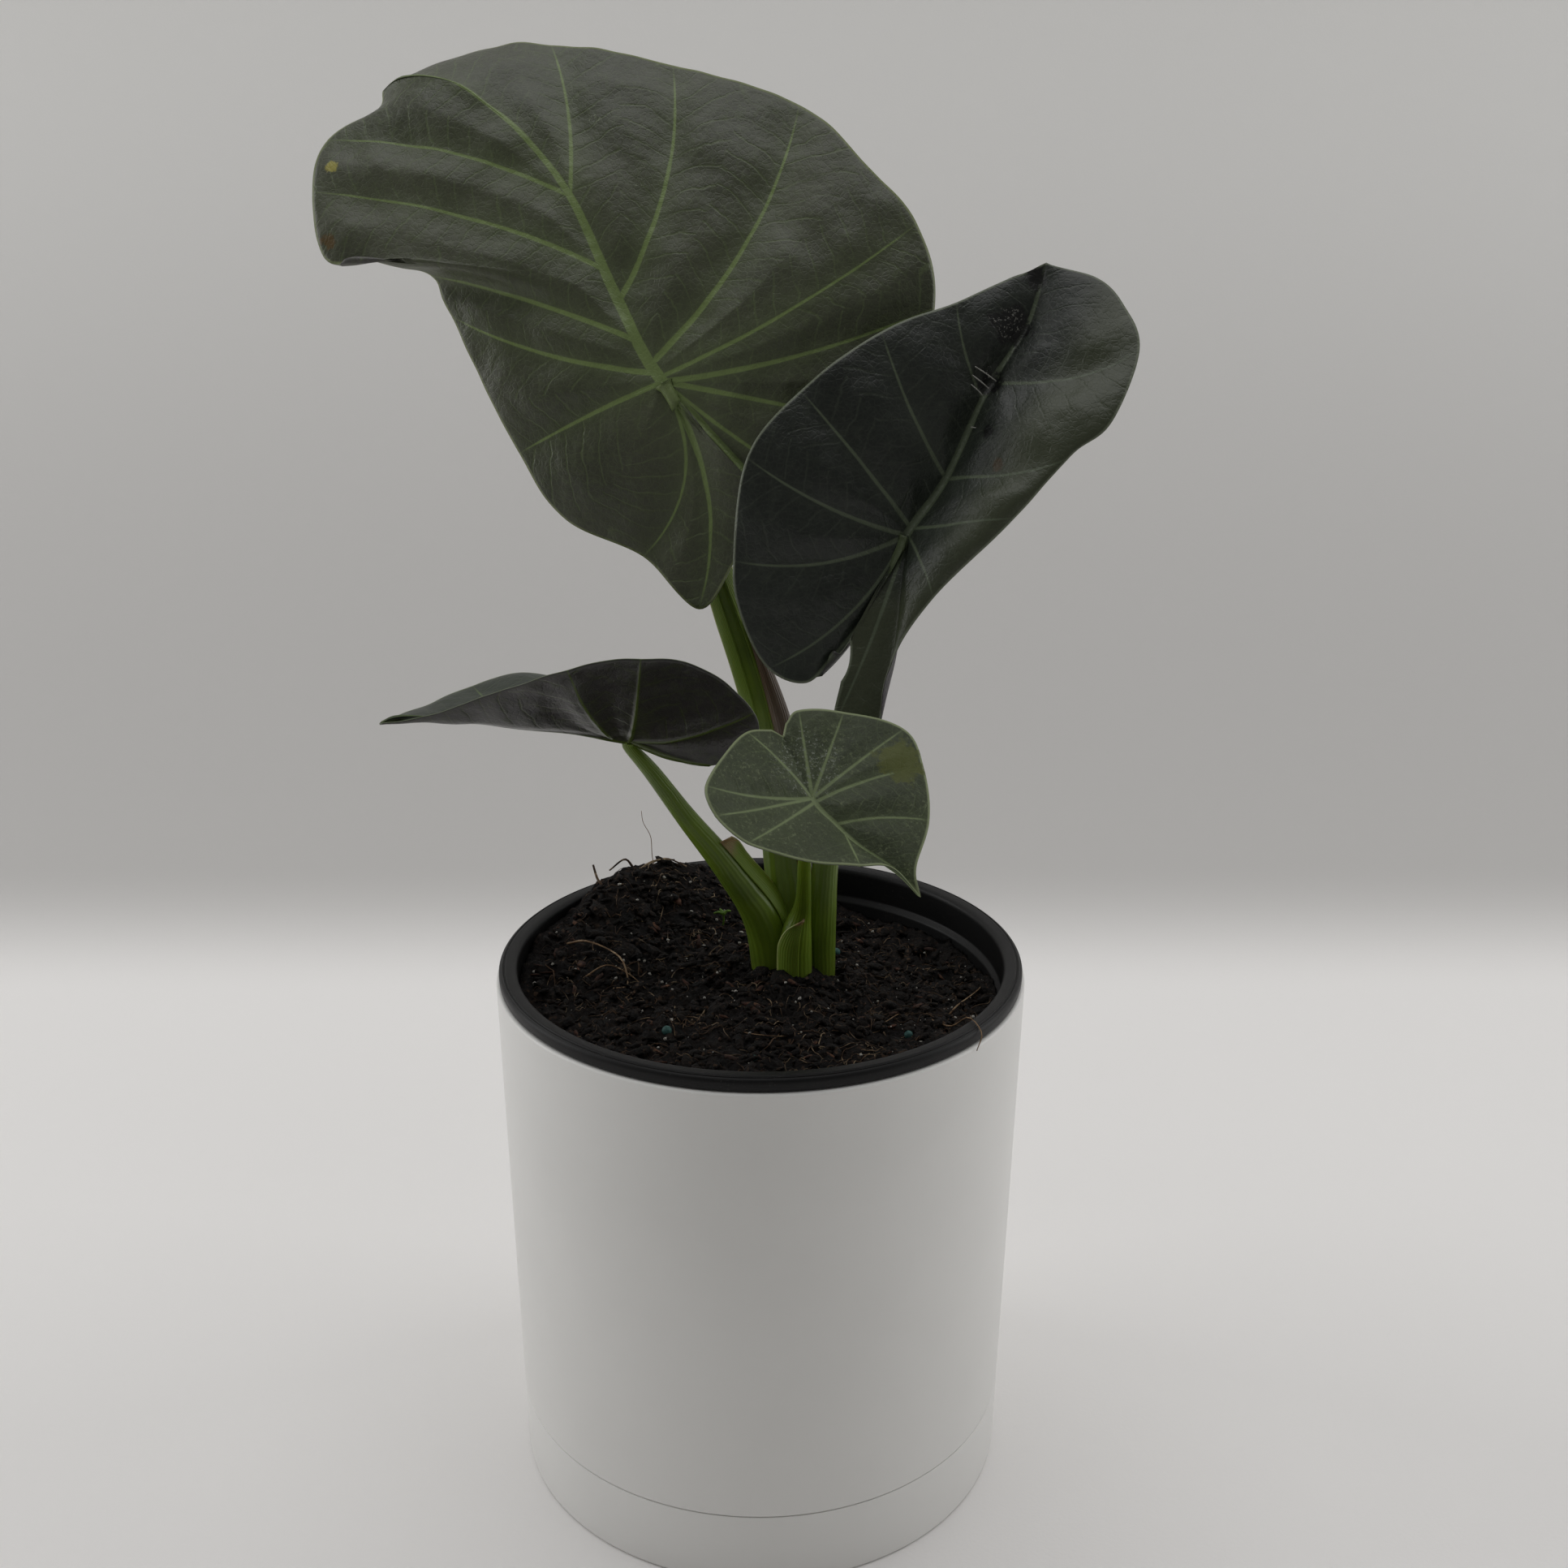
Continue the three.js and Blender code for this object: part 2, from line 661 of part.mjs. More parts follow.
function thickened(sheet, thickness) {
  sheet.computeVertexNormals();
  const { position, normal } = sheet.attributes;
  const count = position.count;
  const points = new Float32Array(count * 6);
  for (let i = 0; i < count * 3; i++) {
    points[i] = position.array[i] + (normal.array[i] * thickness) / 2;
    points[i + count * 3] = position.array[i] - (normal.array[i] * thickness) / 2;
  }
  const faces = [];
  const edges = new Map();
  for (let i = 0; i < sheet.index.count; i += 3) {
    const [a, b, c] = sheet.index.array.slice(i, i + 3);
    if (a === b || b === c || c === a) continue;
    faces.push(a, b, c, a + count, c + count, b + count);
    for (const [p, q] of [[a, b], [b, c], [c, a]]) edges.set(`${p},${q}`, [p, q]);
  }
  for (const [p, q] of edges.values()) {
    if (edges.has(`${q},${p}`)) continue;
    faces.push(p, p + count, q, q, p + count, q + count);
  }
  const geometry = new THREE.BufferGeometry();
  geometry.setAttribute("position", new THREE.BufferAttribute(points, 3));
  geometry.setIndex(faces);
  return geometry;
}

function bladeGeometry(leaf, grow = 0) {
  return thickened(bladeSheet(leaf), BLADE_THICKNESS + 2 * grow);
}

function placedBladeSolid(leaf, grow) {
  return solidFrom(bladeGeometry(leaf, grow).applyMatrix4(bladeMatrix(leaf)));
}

// ---------------------------------------------------------------- assembly
const POTTED = new THREE.Group();

function add(name, geometry, color, roughness, metalness = 0) {
  const material = new THREE.MeshStandardMaterial({ color, roughness, metalness });
  const mesh = new THREE.Mesh(geometry, material);
  mesh.name = name;
  POTTED.add(mesh);
  return mesh;
}

add("drip_saucer", dripSaucer(), 0xd9d9d6, 0.55);
add("cover_pot", coverPot(), 0xd9d9d6, 0.55);
add("nursery_pot", nurseryPot(), 0x1b1b1e, 0.45);

// Each sheath is hollowed by those that it wraps, and makes room for its own blade.
const SHEATHS = [];
for (const leaf of LEAVES) {
  const blade = placedBladeSolid(leaf, CLEARANCE);
  const stem = cut(petioleSolid(leaf), [...SHEATHS, blade]);
  add(`petiole_${leaf.name}`, geometryFrom(stem), 0x7f9a1e, 0.45);
  SHEATHS.push(petioleSolid(leaf, CLEARANCE));
}
add("new_leaf_spear", geometryFrom(cut(spearSolid(), SHEATHS)), 0x6b5a3a, 0.5);

add("rootstock", geometryFrom(rootstock()), 0x6e5138, 0.9);
const PLANT_IN_SOIL = [rootstock(CLEARANCE), ...SHEATHS];
add("potting_soil", geometryFrom(cut(soilBody(), PLANT_IN_SOIL)), 0x1a1411, 0.95);

const BLADE_COLORS = { large: 0x3a4636, right: 0x1f2826, left: 0x3b3236, front: 0x5c6b58 };
for (const leaf of LEAVES) {
  const blade = add(`blade_${leaf.name}`, bladeGeometry(leaf), BLADE_COLORS[leaf.name], 0.5);
  blade.applyMatrix4(bladeMatrix(leaf));
}

export default POTTED;
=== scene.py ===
"""A young alocasia in a grower's pot that hangs in a white cover pot with a flush saucer.

Lengths in the tables are millimetres, +Z up, from the centre of the saucer's foot.
"""

import sys

import logging
import math
import random
from collections.abc import Sequence
from dataclasses import dataclass, field
from enum import Enum

import bmesh
import bpy
import numpy as np
from bmesh.types import BMesh, BMVert
from bpy.types import ID, Material, Mesh, Node, NodeSocket, Object
from mathutils import Matrix, Vector, noise

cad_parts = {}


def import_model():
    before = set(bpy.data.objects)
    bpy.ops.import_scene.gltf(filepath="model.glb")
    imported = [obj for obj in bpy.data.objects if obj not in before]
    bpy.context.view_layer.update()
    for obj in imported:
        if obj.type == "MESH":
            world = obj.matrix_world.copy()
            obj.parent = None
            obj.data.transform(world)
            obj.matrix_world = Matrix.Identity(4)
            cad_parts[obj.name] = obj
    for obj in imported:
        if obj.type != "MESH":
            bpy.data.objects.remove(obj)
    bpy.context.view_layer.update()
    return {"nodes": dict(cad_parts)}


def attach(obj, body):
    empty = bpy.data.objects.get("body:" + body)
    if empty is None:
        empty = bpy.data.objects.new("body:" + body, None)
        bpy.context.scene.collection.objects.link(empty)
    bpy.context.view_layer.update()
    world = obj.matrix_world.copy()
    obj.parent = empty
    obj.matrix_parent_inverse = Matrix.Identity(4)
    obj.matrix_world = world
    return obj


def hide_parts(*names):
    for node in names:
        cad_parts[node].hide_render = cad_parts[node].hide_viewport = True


LOG = logging.getLogger("potted_alocasia")
Color = tuple[float, float, float]
Place = tuple[float, float, float]
Station = tuple[float, float, float, float]  # a place and a radius

MM = 0.001
BODY = "root"

# Heights and radii that the pieces share.
COVER_HEIGHT = 171.3
COVER_TOP_RADIUS = 83.3
FOOT_RADIUS = 80.1
SAUCER_HEIGHT = 25.1
SEAM_GAP = 0.3
RIM_TOP = 175.9
RIM_UNDERSIDE = 171.6
RIM_RADIUS = 82.5
RIM_INNER = 76.5
LEDGE_Z = 163.9
LEDGE = 1.6
SOIL_LEVEL = 166.9
SOIL_GAP = 0.25
SOIL_FOOT = 37.2
SOIL_FOOT_RADIUS = 56.8
FOOT_SHARE = 56 / 66  # of the soil's radius at 100 mm
CROWN = (11.0, 6.0)
CROWN_CLEAR = 13
STRAND_REACH = 75.0
BLADE_HALF = 0.35
FACES_ROUND = 160
# Each swell of the soil: x, y, spread and rise.
SWELLS = (
    (-46, 53, 24, 13), (-25, 66, 19, 6.8), (-61, 14, 26, 5), (-6, -56, 40, 3),
    (56, 22, 34, -7), (34, 56, 26, -5), (11, 1, 15, 5),
)


class Slot(Enum):
    """Names of the material slots."""

    WHITE_POT = "white_pot"
    BLACK_POT = "black_pot"
    SOIL = "soil"
    ROOT = "root"
    PETIOLE = "petiole"
    SPEAR = "spear"
    GREY_GREEN = "blade_grey_green"
    DARK = "blade_dark"
    PURPLE = "blade_purple"
    PALE = "blade_pale"


# ---------------------------------------------------------------- shader expressions
class Term:
    """One shader value that takes part in arithmetic."""

    def __init__(self, graph: "Graph", socket: NodeSocket) -> None:
        """Keeps the socket and the graph it belongs to."""
        self.graph = graph
        self.socket = socket

    def __add__(self, other: "Term | float") -> "Term":
        """self + other."""
        return self.graph.math("ADD", self, other)

    __radd__ = __add__

    def __sub__(self, other: "Term | float") -> "Term":
        """self - other."""
        return self.graph.math("SUBTRACT", self, other)

    def __rsub__(self, other: float) -> "Term":
        """other - self."""
        return self.graph.math("SUBTRACT", other, self)

    def __mul__(self, other: "Term | float") -> "Term":
        """self * other."""
        return self.graph.math("MULTIPLY", self, other)

    __rmul__ = __mul__

    def __truediv__(self, other: "Term | float") -> "Term":
        """self / other."""
        return self.graph.math("DIVIDE", self, other)

    def step(self, low: float, high: float) -> "Term":
        """Smoothly 0 to 1 as the value goes from low to high, which may be the smaller."""
        settings = {"interpolation_type": "SMOOTHSTEP"}
        values = {"Value": self, "From Min": low, "From Max": high}
        return self.graph.term("ShaderNodeMapRange", "Result", settings, values)


class Graph:
    """A material's node tree, built from expressions."""

    def __init__(self, name: str) -> None:
        """Starts an empty node material.

        Args:
            name: the material's name.
        """
        self.material = bpy.data.materials.new(name)
        self.material.use_nodes = True
        self.tree = self.material.node_tree
        self.tree.nodes.clear()

    def node(self, kind: str, settings: dict | None = None, values: dict | None = None) -> Node:
        """Adds a node.

        Args:
            kind: the node's type name.
            settings: properties set first.
            values: socket name or number to a value, or to a Term that is linked.

        Returns:
            The new node.
        """
        made = self.tree.nodes.new(kind)
        for key, value in (settings or {}).items():
            setattr(made, key, value)
        for key, value in (values or {}).items():
            if isinstance(value, Term):
                self.tree.links.new(value.socket, made.inputs[key])
            else:
                made.inputs[key].default_value = value
        return made

    def term(self, kind: str, output: str | int, settings: dict | None = None,
             values: dict | None = None) -> Term:
        """Adds a node and returns one of its outputs as a Term."""
        return Term(self, self.node(kind, settings, values).outputs[output])

    def split(self, vector: Term) -> list[Term]:
        """The three numbers of a vector."""
        parts = self.node("ShaderNodeSeparateXYZ", None, {0: vector})
        return [Term(self, socket) for socket in parts.outputs]

    def math(self, operation: str, first: Term | float, second: Term | float = 0.0) -> Term:
        """Adds one Math node."""
        return self.term("ShaderNodeMath", 0, {"operation": operation}, {0: first, 1: second})

    def wave(self, angle: Term) -> Term:
        """A sine wave in 0 to 1."""
        return self.math("SINE", angle) * 0.5 + 0.5

    def place(self) -> Term:
        """The point's place on the object, in metres."""
        return self.term("ShaderNodeTexCoord", "Object")

    def uv(self, layer: str) -> tuple[Term, Term]:
        """The two numbers of a UV layer."""
        first, second, _ = self.split(self.term("ShaderNodeUVMap", "UV", {"uv_map": layer}))
        return first, second

    def attribute(self, name: str) -> Term:
        """A number stored on the mesh."""
        return self.term("ShaderNodeAttribute", "Fac", {"attribute_name": name})

    def noise(self, scale: float, detail: float = 4.0, roughness: float = 0.55,
              where: Term | None = None) -> Term:
        """Noise in 0 to 1.

        Args:
            scale: cells per metre.
            detail: octaves.
            roughness: share kept by each finer octave.
            where: the place to read it at; the object's own by default.

        Returns:
            The noise value.
        """
        values = {"Vector": where or self.place(), "Scale": scale, "Detail": detail,
                  "Roughness": roughness}
        return self.term("ShaderNodeTexNoise", "Fac", None, values)

    def cells(self, scale: float, feature: str = "F1", output: str = "Distance") -> Term:
        """Voronoi cells of the object's place."""
        values = {"Vector": self.place(), "Scale": scale}
        return self.term("ShaderNodeTexVoronoi", output, {"feature": feature}, values)

    def stretched(self, scale: Sequence[float]) -> Term:
        """The object's place, scaled along each axis."""
        values = {"Vector": self.place(), "Scale": tuple(scale)}
        return self.term("ShaderNodeMapping", 0, None, values)

    def blend(self, factor: Term | float, first: Term | Color, second: Term | Color) -> Term:
        """A colour that goes from the first to the second as the factor goes from 0 to 1."""
        ends = [value if isinstance(value, Term) else (*value, 1.0) for value in (first, second)]
        settings = {"data_type": "RGBA", "clamp_factor": True}
        return self.term("ShaderNodeMix", 2, settings, {0: factor, 6: ends[0], 7: ends[1]})

    def coats(self, color: Term | Color, *coats: tuple[Term | float, Term | Color]) -> Term:
        """A colour under coats, each of them a share and a colour."""
        for share, coat in coats:
            color = self.blend(share, color, coat)
        return color

    def near(self, spot: Sequence[float]) -> Term:
        """Distance in millimetres from a place that is given in millimetres."""
        values = {0: self.place(), 1: tuple(value * MM for value in spot)}
        return self.term("ShaderNodeVectorMath", "Value", {"operation": "DISTANCE"}, values) * 1000.0

    def finish(self, color: Term, roughness: Term | float, height: Term | None = None,
               depth: float = 0.3, **constants: float) -> Material:
        """Joins the shader and gives the material.

        Args:
            color: base colour.
            roughness: roughness.
            height: bump height, 0 to 1.
            depth: millimetres that a height of 1 stands for.
            constants: other shader sockets, with _ for a space.

        Returns:
            The material.
        """
        values = {"Base Color": color, "Roughness": roughness}
        values.update({name.replace("_", " "): value for name, value in constants.items()})
        if height is not None:
            bump = {"Height": height, "Distance": depth * MM, "Strength": 1.0}
            values["Normal"] = self.term("ShaderNodeBump", "Normal", None, bump)
        shader = self.term("ShaderNodeBsdfPrincipled", 0, None, values)
        self.node("ShaderNodeOutputMaterial", None, {"Surface": shader})
        return self.material


# ---------------------------------------------------------------- finishes
@dataclass(frozen=True)
class LeafFinish:
    """How one blade looks on both of its faces."""

    name: str
    lamina: Color
    shade: Color
    vein: Color
    halo: Color
    margin: Color
    under: Color
    under_vein: Color
    halo_reach: float = 3.0
    halo_share: float = 0.5
    fine_veins: float = 0.55
    fine_spacing: float = 6.5
    bloom: float = 0.0
    gloss: float = 0.42
    under_gloss: float = 0.40
    relief: float = 0.9
    specular: float = 0.4
    # Painted light: a lighter colour laid over the outer band of the right half, where it turns up towards
    # the lamps, and the share of it that is laid on.
    painted_light_band: Color | None = None
    painted_light_band_share: float = 0.75
    # Each patch: centre and radius in millimetres, share that breaks into grains, colour.
    spots: tuple[tuple[float, ...], ...] = ()

    def material(self) -> Material:
        """Builds the blade's node material.

        Returns:
            The material, which reads the blade's UV layers and attributes.
        """
        g = Graph(self.name)
        along, off = g.uv("venation")
        reach, width = g.uv("reach")
        under = g.attribute("under")
        edge = g.attribute("margin")
        broad = g.noise(17.0, 4.0)
        fine = g.noise(420.0, 5.0, 0.6)

        wobble = (g.noise(240.0, 2.0) - 0.5) * 0.3
        vein = (off + wobble - width).step(0.30, -0.18) * (1.0 - reach.step(0.84, 1.0) * 0.75)
        halo = g.math("EXPONENT", off / self.halo_reach * -1.0) * self.halo_share * (1.0 - reach * 0.75)

        warp = (g.noise(55.0, 3.0) - 0.5) * 9.0
        phase = (along - off * 0.62 + off * off * 0.012 + warp) / self.fine_spacing
        saw = g.math("ABSOLUTE", g.math("FRACT", phase) - 0.5) * 2.0
        faint = g.noise(45.0, 3.0).step(0.34, 0.6) * 0.7 + 0.3
        line = saw.step(0.84, 0.99) * off.step(0.4, 1.6) * faint
        ripple = g.wave(phase * (2.0 * math.pi))
        net = g.cells(620.0, "DISTANCE_TO_EDGE").step(0.0, 0.16)

        # Painted shade: the troughs of the fine ripple, which the bump also lowers, are darkened towards
        # the shade colour.
        lamina = g.coats(
            self.shade, (broad.step(0.32, 0.7), self.lamina), (fine.step(0.45, 0.8) * 0.35, self.halo),
            ((1.0 - net) * 0.16, self.halo), ((1.0 - ripple) * 0.1 * off.step(0.5, 4.0), self.shade),
            (halo, self.halo), (line * self.fine_veins, self.halo),
        )
        # Painted light: the right half's outer band is lightened, as if lit where it turns up.
        if self.painted_light_band:
            outside = g.attribute("side").step(0.35, 0.95)
            lamina = g.blend(outside * self.painted_light_band_share, lamina, self.painted_light_band)
        if self.bloom:
            speck = g.noise(900.0, 3.0, 0.7).step(0.54, 0.68) * g.noise(60.0, 2.0).step(0.3, 0.6)
            lamina = g.blend(speck * self.bloom, lamina, self.margin)
        deep = g.blend(fine * 0.5, self.vein, self.halo)
        upper = g.coats(lamina, (vein, deep), (edge.step(0.9, 0.25) * 0.8, self.margin))
        crumb = g.noise(1100.0, 3.0, 0.7).step(0.56, 0.62)
        for x, y, z, radius, grain, *color in self.spots:
            ragged = g.near((x, y, z)) + (g.noise(330.0, 4.0, 0.65) - 0.5) * (radius * 2.2)
            patch = ragged.step(radius * 1.15, radius * 0.7) * (crumb * grain + (1.0 - grain))
            upper = g.blend(patch * 0.92, upper, color)

        below = g.coats(
            self.under, (broad.step(0.3, 0.7) * 0.4, self.shade),
            *((share, self.under_vein) for share in (
                fine.step(0.4, 0.8) * 0.25, halo * 0.6, line * self.fine_veins * 0.6,
                (off - width * 1.25).step(0.3, -0.2),
            )),
        )
        color = g.blend(under.step(0.3, 0.7), upper, below)
        rough = (self.gloss + (self.under_gloss - self.gloss) * under
                 + (broad - 0.5) * 0.16 + (fine - 0.5) * 0.12)
        wrinkle = g.noise(105.0, 3.0, 0.5)
        height = ripple * 0.1 + (1.0 - line) * 0.08 + net * 0.05 + fine * 0.1 + wrinkle
        return g.finish(color, rough, height, self.relief, Specular_IOR_Level=self.specular)


@dataclass(frozen=True)
class StemFinish:
    """A smooth green stem with faint strands along it."""

    name: str
    color: Color
    shade: Color
    # foot: the colour below foot_height; on the petioles a darker green, painted shade down in the pot; on
    # the spear its own green base.
    foot: Color
    foot_height: float = 178.0
    gloss: float = 0.36

    def material(self) -> Material:
        """Builds the stem's node material.

        Returns:
            The material.
        """
        g = Graph(self.name)
        around, along = g.uv("stem")
        strand = g.wave(around * (2.0 * math.pi * 22.0) + g.noise(120.0, 2.0) * 6.0)
        broad = g.noise(40.0, 3.0)
        fine = g.noise(700.0, 4.0, 0.6)
        height = g.split(g.place())[2] * 1000.0
        # Below foot_height the stem turns to the foot colour: painted shade under the pot's rim on the
        # petioles, the spear's own green base on the spear.
        low = (height + broad * 14.0).step(self.foot_height + 7, self.foot_height - 10)
        fleck = g.cells(900.0).step(0.16, 0.05) * 0.3
        # The top of each stem is darkened towards its shade colour; on the petioles, where they run under
        # their blades, this is painted shade.
        color = g.coats(
            self.color, (broad.step(0.3, 0.7), self.shade), (strand * 0.22, self.shade),
            (low, self.foot), (along.step(0.93, 1.0) * 0.6, self.shade), (fleck, self.foot),
        )
        rough = self.gloss + (fine - 0.5) * 0.16 + broad * 0.06
        return g.finish(color, rough, strand * 0.5 + fine * 0.35, 0.16,
                        Specular_IOR_Level=0.5, Subsurface_Weight=0.08, Subsurface_Scale=0.004)


@dataclass(frozen=True)
class SheathFinish:
    """A sheath: green where it grows from the stem, papery along its free margin."""

    name: str
    color: Color
    margin: Color
    tip: Color

    def material(self) -> Material:
        """Builds the sheath's node material.

        Returns:
            The material.
        """
        g = Graph(self.name)
        across, along = g.uv("stem")
        fine = g.noise(600.0, 4.0, 0.6)
        ragged = across + (g.noise(200.0, 3.0) - 0.5) * 0.12
        strand = g.wave(across * 55.0 + g.noise(90.0, 2.0) * 5.0)
        dry = (along + (g.noise(160.0, 3.0) - 0.5) * 0.16).step(0.86, 0.99)
        color = g.coats(self.color, (strand * 0.08, self.margin), (ragged.step(0.86, 0.98), self.margin),
                        (dry, self.tip))
        return g.finish(color, 0.46 + (fine - 0.5) * 0.2, strand * 0.5 + fine * 0.5, 0.14,
                        Specular_IOR_Level=0.45, Subsurface_Weight=0.08, Subsurface_Scale=0.003)


@dataclass(frozen=True)
class PlasticFinish:
    """Moulded plastic with a fine grain, haze and rubbed edges."""

    name: str
    color: Color
    haze: Color
    rubbed: Color
    gloss: float
    grain: float = 0.03
    scuffs: float = 0.0
    dust: float = 0.0
    specular: float = 0.5

    def material(self) -> Material:
        """Builds the plastic's node material.

        Returns:
            The material.
        """
        g = Graph(self.name)
        cloud = g.noise(14.0, 4.0)
        grain = g.noise(2600.0, 2.0, 0.5)
        drag = g.noise(70.0, 4.0, 0.6, g.stretched((1.0, 1.0, 9.0)))
        scratch = g.noise(260.0, 5.0, 0.7, g.stretched((1.0, 1.0, 7.0))).step(0.60, 0.72)
        speck = g.noise(1500.0, 3.0, 0.7).step(0.63, 0.7) * g.noise(90.0, 3.0).step(0.42, 0.62)
        color = g.coats(self.color, (cloud.step(0.3, 0.75) * 0.8, self.haze),
                        (scratch * self.scuffs, self.rubbed), (speck * self.dust, self.rubbed))
        rough = self.gloss + (cloud - 0.5) * 0.12 + (drag - 0.5) * 0.1 + scratch * self.scuffs * 0.25
        height = grain * 0.6 + drag * 0.25 + scratch * self.scuffs * 0.3
        return g.finish(color, rough, height, self.grain, Specular_IOR_Level=self.specular)


@dataclass(frozen=True)
class EarthFinish:
    """Crumbly or fibrous matter in several browns."""

    name: str
    dark: Color
    middle: Color
    light: Color
    scale: float = 260.0
    light_share: float = 0.2
    gloss: float = 0.85
    relief: float = 1.2

    def material(self) -> Material:
        """Builds the node material.

        Returns:
            The material.
        """
        g = Graph(self.name)
        lump = g.noise(self.scale, 6.0, 0.65)
        broad = g.noise(self.scale * 0.22, 3.0)
        bits = g.cells(self.scale * 3.2, "F1", "Color")
        pick = g.term("ShaderNodeSeparateColor", 0, None, {0: bits})
        lit = pick.step(1.0 - self.light_share, 1.0) * broad.step(0.3, 0.7)
        color = g.coats(self.dark, (lump.step(0.35, 0.7), self.middle), (lit, self.light))
        rough = self.gloss + (lump - 0.5) * 0.25
        height = lump * 0.7 + g.cells(self.scale * 2.6) * 0.5
        return g.finish(color, rough, height, self.relief, Specular_IOR_Level=0.22)


@dataclass(frozen=True)
class StageFinish:
    """The pale sweep that the pot stands on, with painted light: a bright floor, and a wall in painted
    shade at its foot, lighter upwards.
    """

    name: str
    # Floor and wall are one pale surface; their different colours are painted light and shade: the floor
    # bright, the wall darkest at its foot and lighter at its top.
    floor: Color
    painted_shade_wall_foot: Color
    wall_top: Color

    def material(self) -> Material:
        """Builds the node material.

        Returns:
            The material.
        """
        g = Graph(self.name)
        _, back, height = g.split(g.place())
        # Painted shade on the wall, darkest at its foot and lighter upwards; the floor is painted brighter
        # than the wall.
        wall = g.blend(height.step(0.03, 0.56), self.painted_shade_wall_foot, self.wall_top)
        color = g.blend(back.step(0.33, 0.48), self.floor, wall)
        return g.finish(color, 0.8, g.noise(700.0, 2.0), 0.05, Specular_IOR_Level=0.2)


# ---------------------------------------------------------------- mesh tools
def catmull(points: Sequence[Sequence[float]], places: np.ndarray) -> np.ndarray:
    """A smooth curve through points.

    Args:
        points: the points, as rows.
        places: where to read it, counted in points from 0.

    Returns:
        One row for each place.
    """
    knots = np.asarray(points, float)
    padded = np.vstack([2 * knots[0] - knots[1], knots, 2 * knots[-1] - knots[-2]])
    lower = np.clip(np.floor(places).astype(int), 0, len(knots) - 2)
    share = (np.asarray(places, float) - lower)[:, None]
    before, start, end, after = (padded[lower + i] for i in range(4))
    leave, arrive = (end - before) / 2, (after - start) / 2
    return (
        start
        + leave * share
        + (3 * (end - start) - 2 * leave - arrive) * share**2
        + (2 * (start - end) + leave + arrive) * share**3
    )


def polyline_fields(points: np.ndarray, line: np.ndarray) -> tuple[np.ndarray, np.ndarray]:
    """How far points are from a line, and how far along it.

    Args:
        points: rows of x, y, z.
        line: rows of x, y, z, in order.

    Returns:
        The distance of each point, and the length along the line to its nearest place.
    """
    steps = line[1:] - line[:-1]
    lengths = np.maximum(np.linalg.norm(steps, axis=1), 1e-9)
    before = np.concatenate([[0.0], np.cumsum(lengths)])
    squared = (line**2).sum(1)[None] - 2 * points @ line.T
    nearest = squared.argmin(axis=1)
    gap = np.full(len(points), np.inf)
    place = np.zeros(len(points))
    for shift in (-1, 0):
        part = np.clip(nearest + shift, 0, len(steps) - 1)
        offset = points - line[part]
        share = np.clip((offset * steps[part]).sum(1) / lengths[part] ** 2, 0, 1)
        here = np.linalg.norm(offset - share[:, None] * steps[part], axis=1)
        closer = here < gap
        gap[closer] = here[closer]
        place[closer] = (before[part] + share * lengths[part])[closer]
    return gap, place


def add_grid(bm: BMesh, points: np.ndarray) -> list[BMVert]:
    """Adds a grid of faces through given points.

    Args:
        bm: where it goes.
        points: columns by rows by 3, in metres.

    Returns:
        The new vertices.
    """
    columns, rows = points.shape[0] - 1, points.shape[1] - 1
    made = bmesh.ops.create_grid(bm, x_segments=columns, y_segments=rows, size=0.5)["verts"]
    for vert in made:
        column = round((vert.co.x + 0.5) * columns)
        row = round((vert.co.y + 0.5) * rows)
        vert.co = points[column, row]
    return made


def new_object(name: str, data: ID | None) -> Object:
    """Puts an object that holds the data into the scene."""
    made = bpy.data.objects.new(name, data)
    bpy.context.scene.collection.objects.link(made)
    return made


def new_mesh(name: str, bm: BMesh, material: Material | None = None) -> Mesh:
    """Turns a bmesh into a mesh.

    Args:
        name: the mesh's name.
        bm: what it is made from, which is freed.
        material: its finish, which comes with smooth shading.

    Returns:
        The mesh.
    """
    mesh = bpy.data.meshes.new(name)
    bm.to_mesh(mesh)
    bm.free()
    if material:
        mesh.shade_smooth()
        mesh.materials.append(material)
    return mesh


def place_piece(name: str, bm: BMesh, material: Material,
                nodes: Sequence[str] = (), recalculate: bool = True) -> Object:
    """Makes a bmesh into a piece that rides on the body.

    Args:
        name: the piece's name.
        bm: its mesh, which is freed.
        material: its finish.
        nodes: the CAD nodes it stands for.
        recalculate: whether to turn its faces outwards.

    Returns:
        The object.
    """
    if recalculate:
        bmesh.ops.recalc_face_normals(bm, faces=bm.faces[:])
    mesh = new_mesh(name, bm, material)
    piece = new_object(name, mesh)
    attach(piece, BODY)
    if nodes:
        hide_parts(*nodes)
    LOG.info("%s: %d faces", name, len(mesh.polygons))
    return piece


def store(mesh: Mesh, name: str, values: np.ndarray) -> None:
    """Keeps one number per vertex on a mesh."""
    mesh.attributes.new(name, "FLOAT", "POINT").data.foreach_set("value", values.astype(np.float32))


def store_uv(mesh: Mesh, name: str, pairs: np.ndarray) -> None:
    """Keeps a pair of numbers per face corner on a mesh."""
    mesh.uv_layers.new(name=name).data.foreach_set("uv", pairs.astype(np.float32).ravel())


def read(items: "bpy.types.bpy_prop_collection", name: str) -> np.ndarray:
    """One whole number of each item of a mesh.

    Args:
        items: its loops, its polygons or an attribute's data.
        name: what is read.

    Returns:
        One value for each item.
    """
    values = np.zeros(len(items), np.int32)
    items.foreach_get(name, values)
    return values


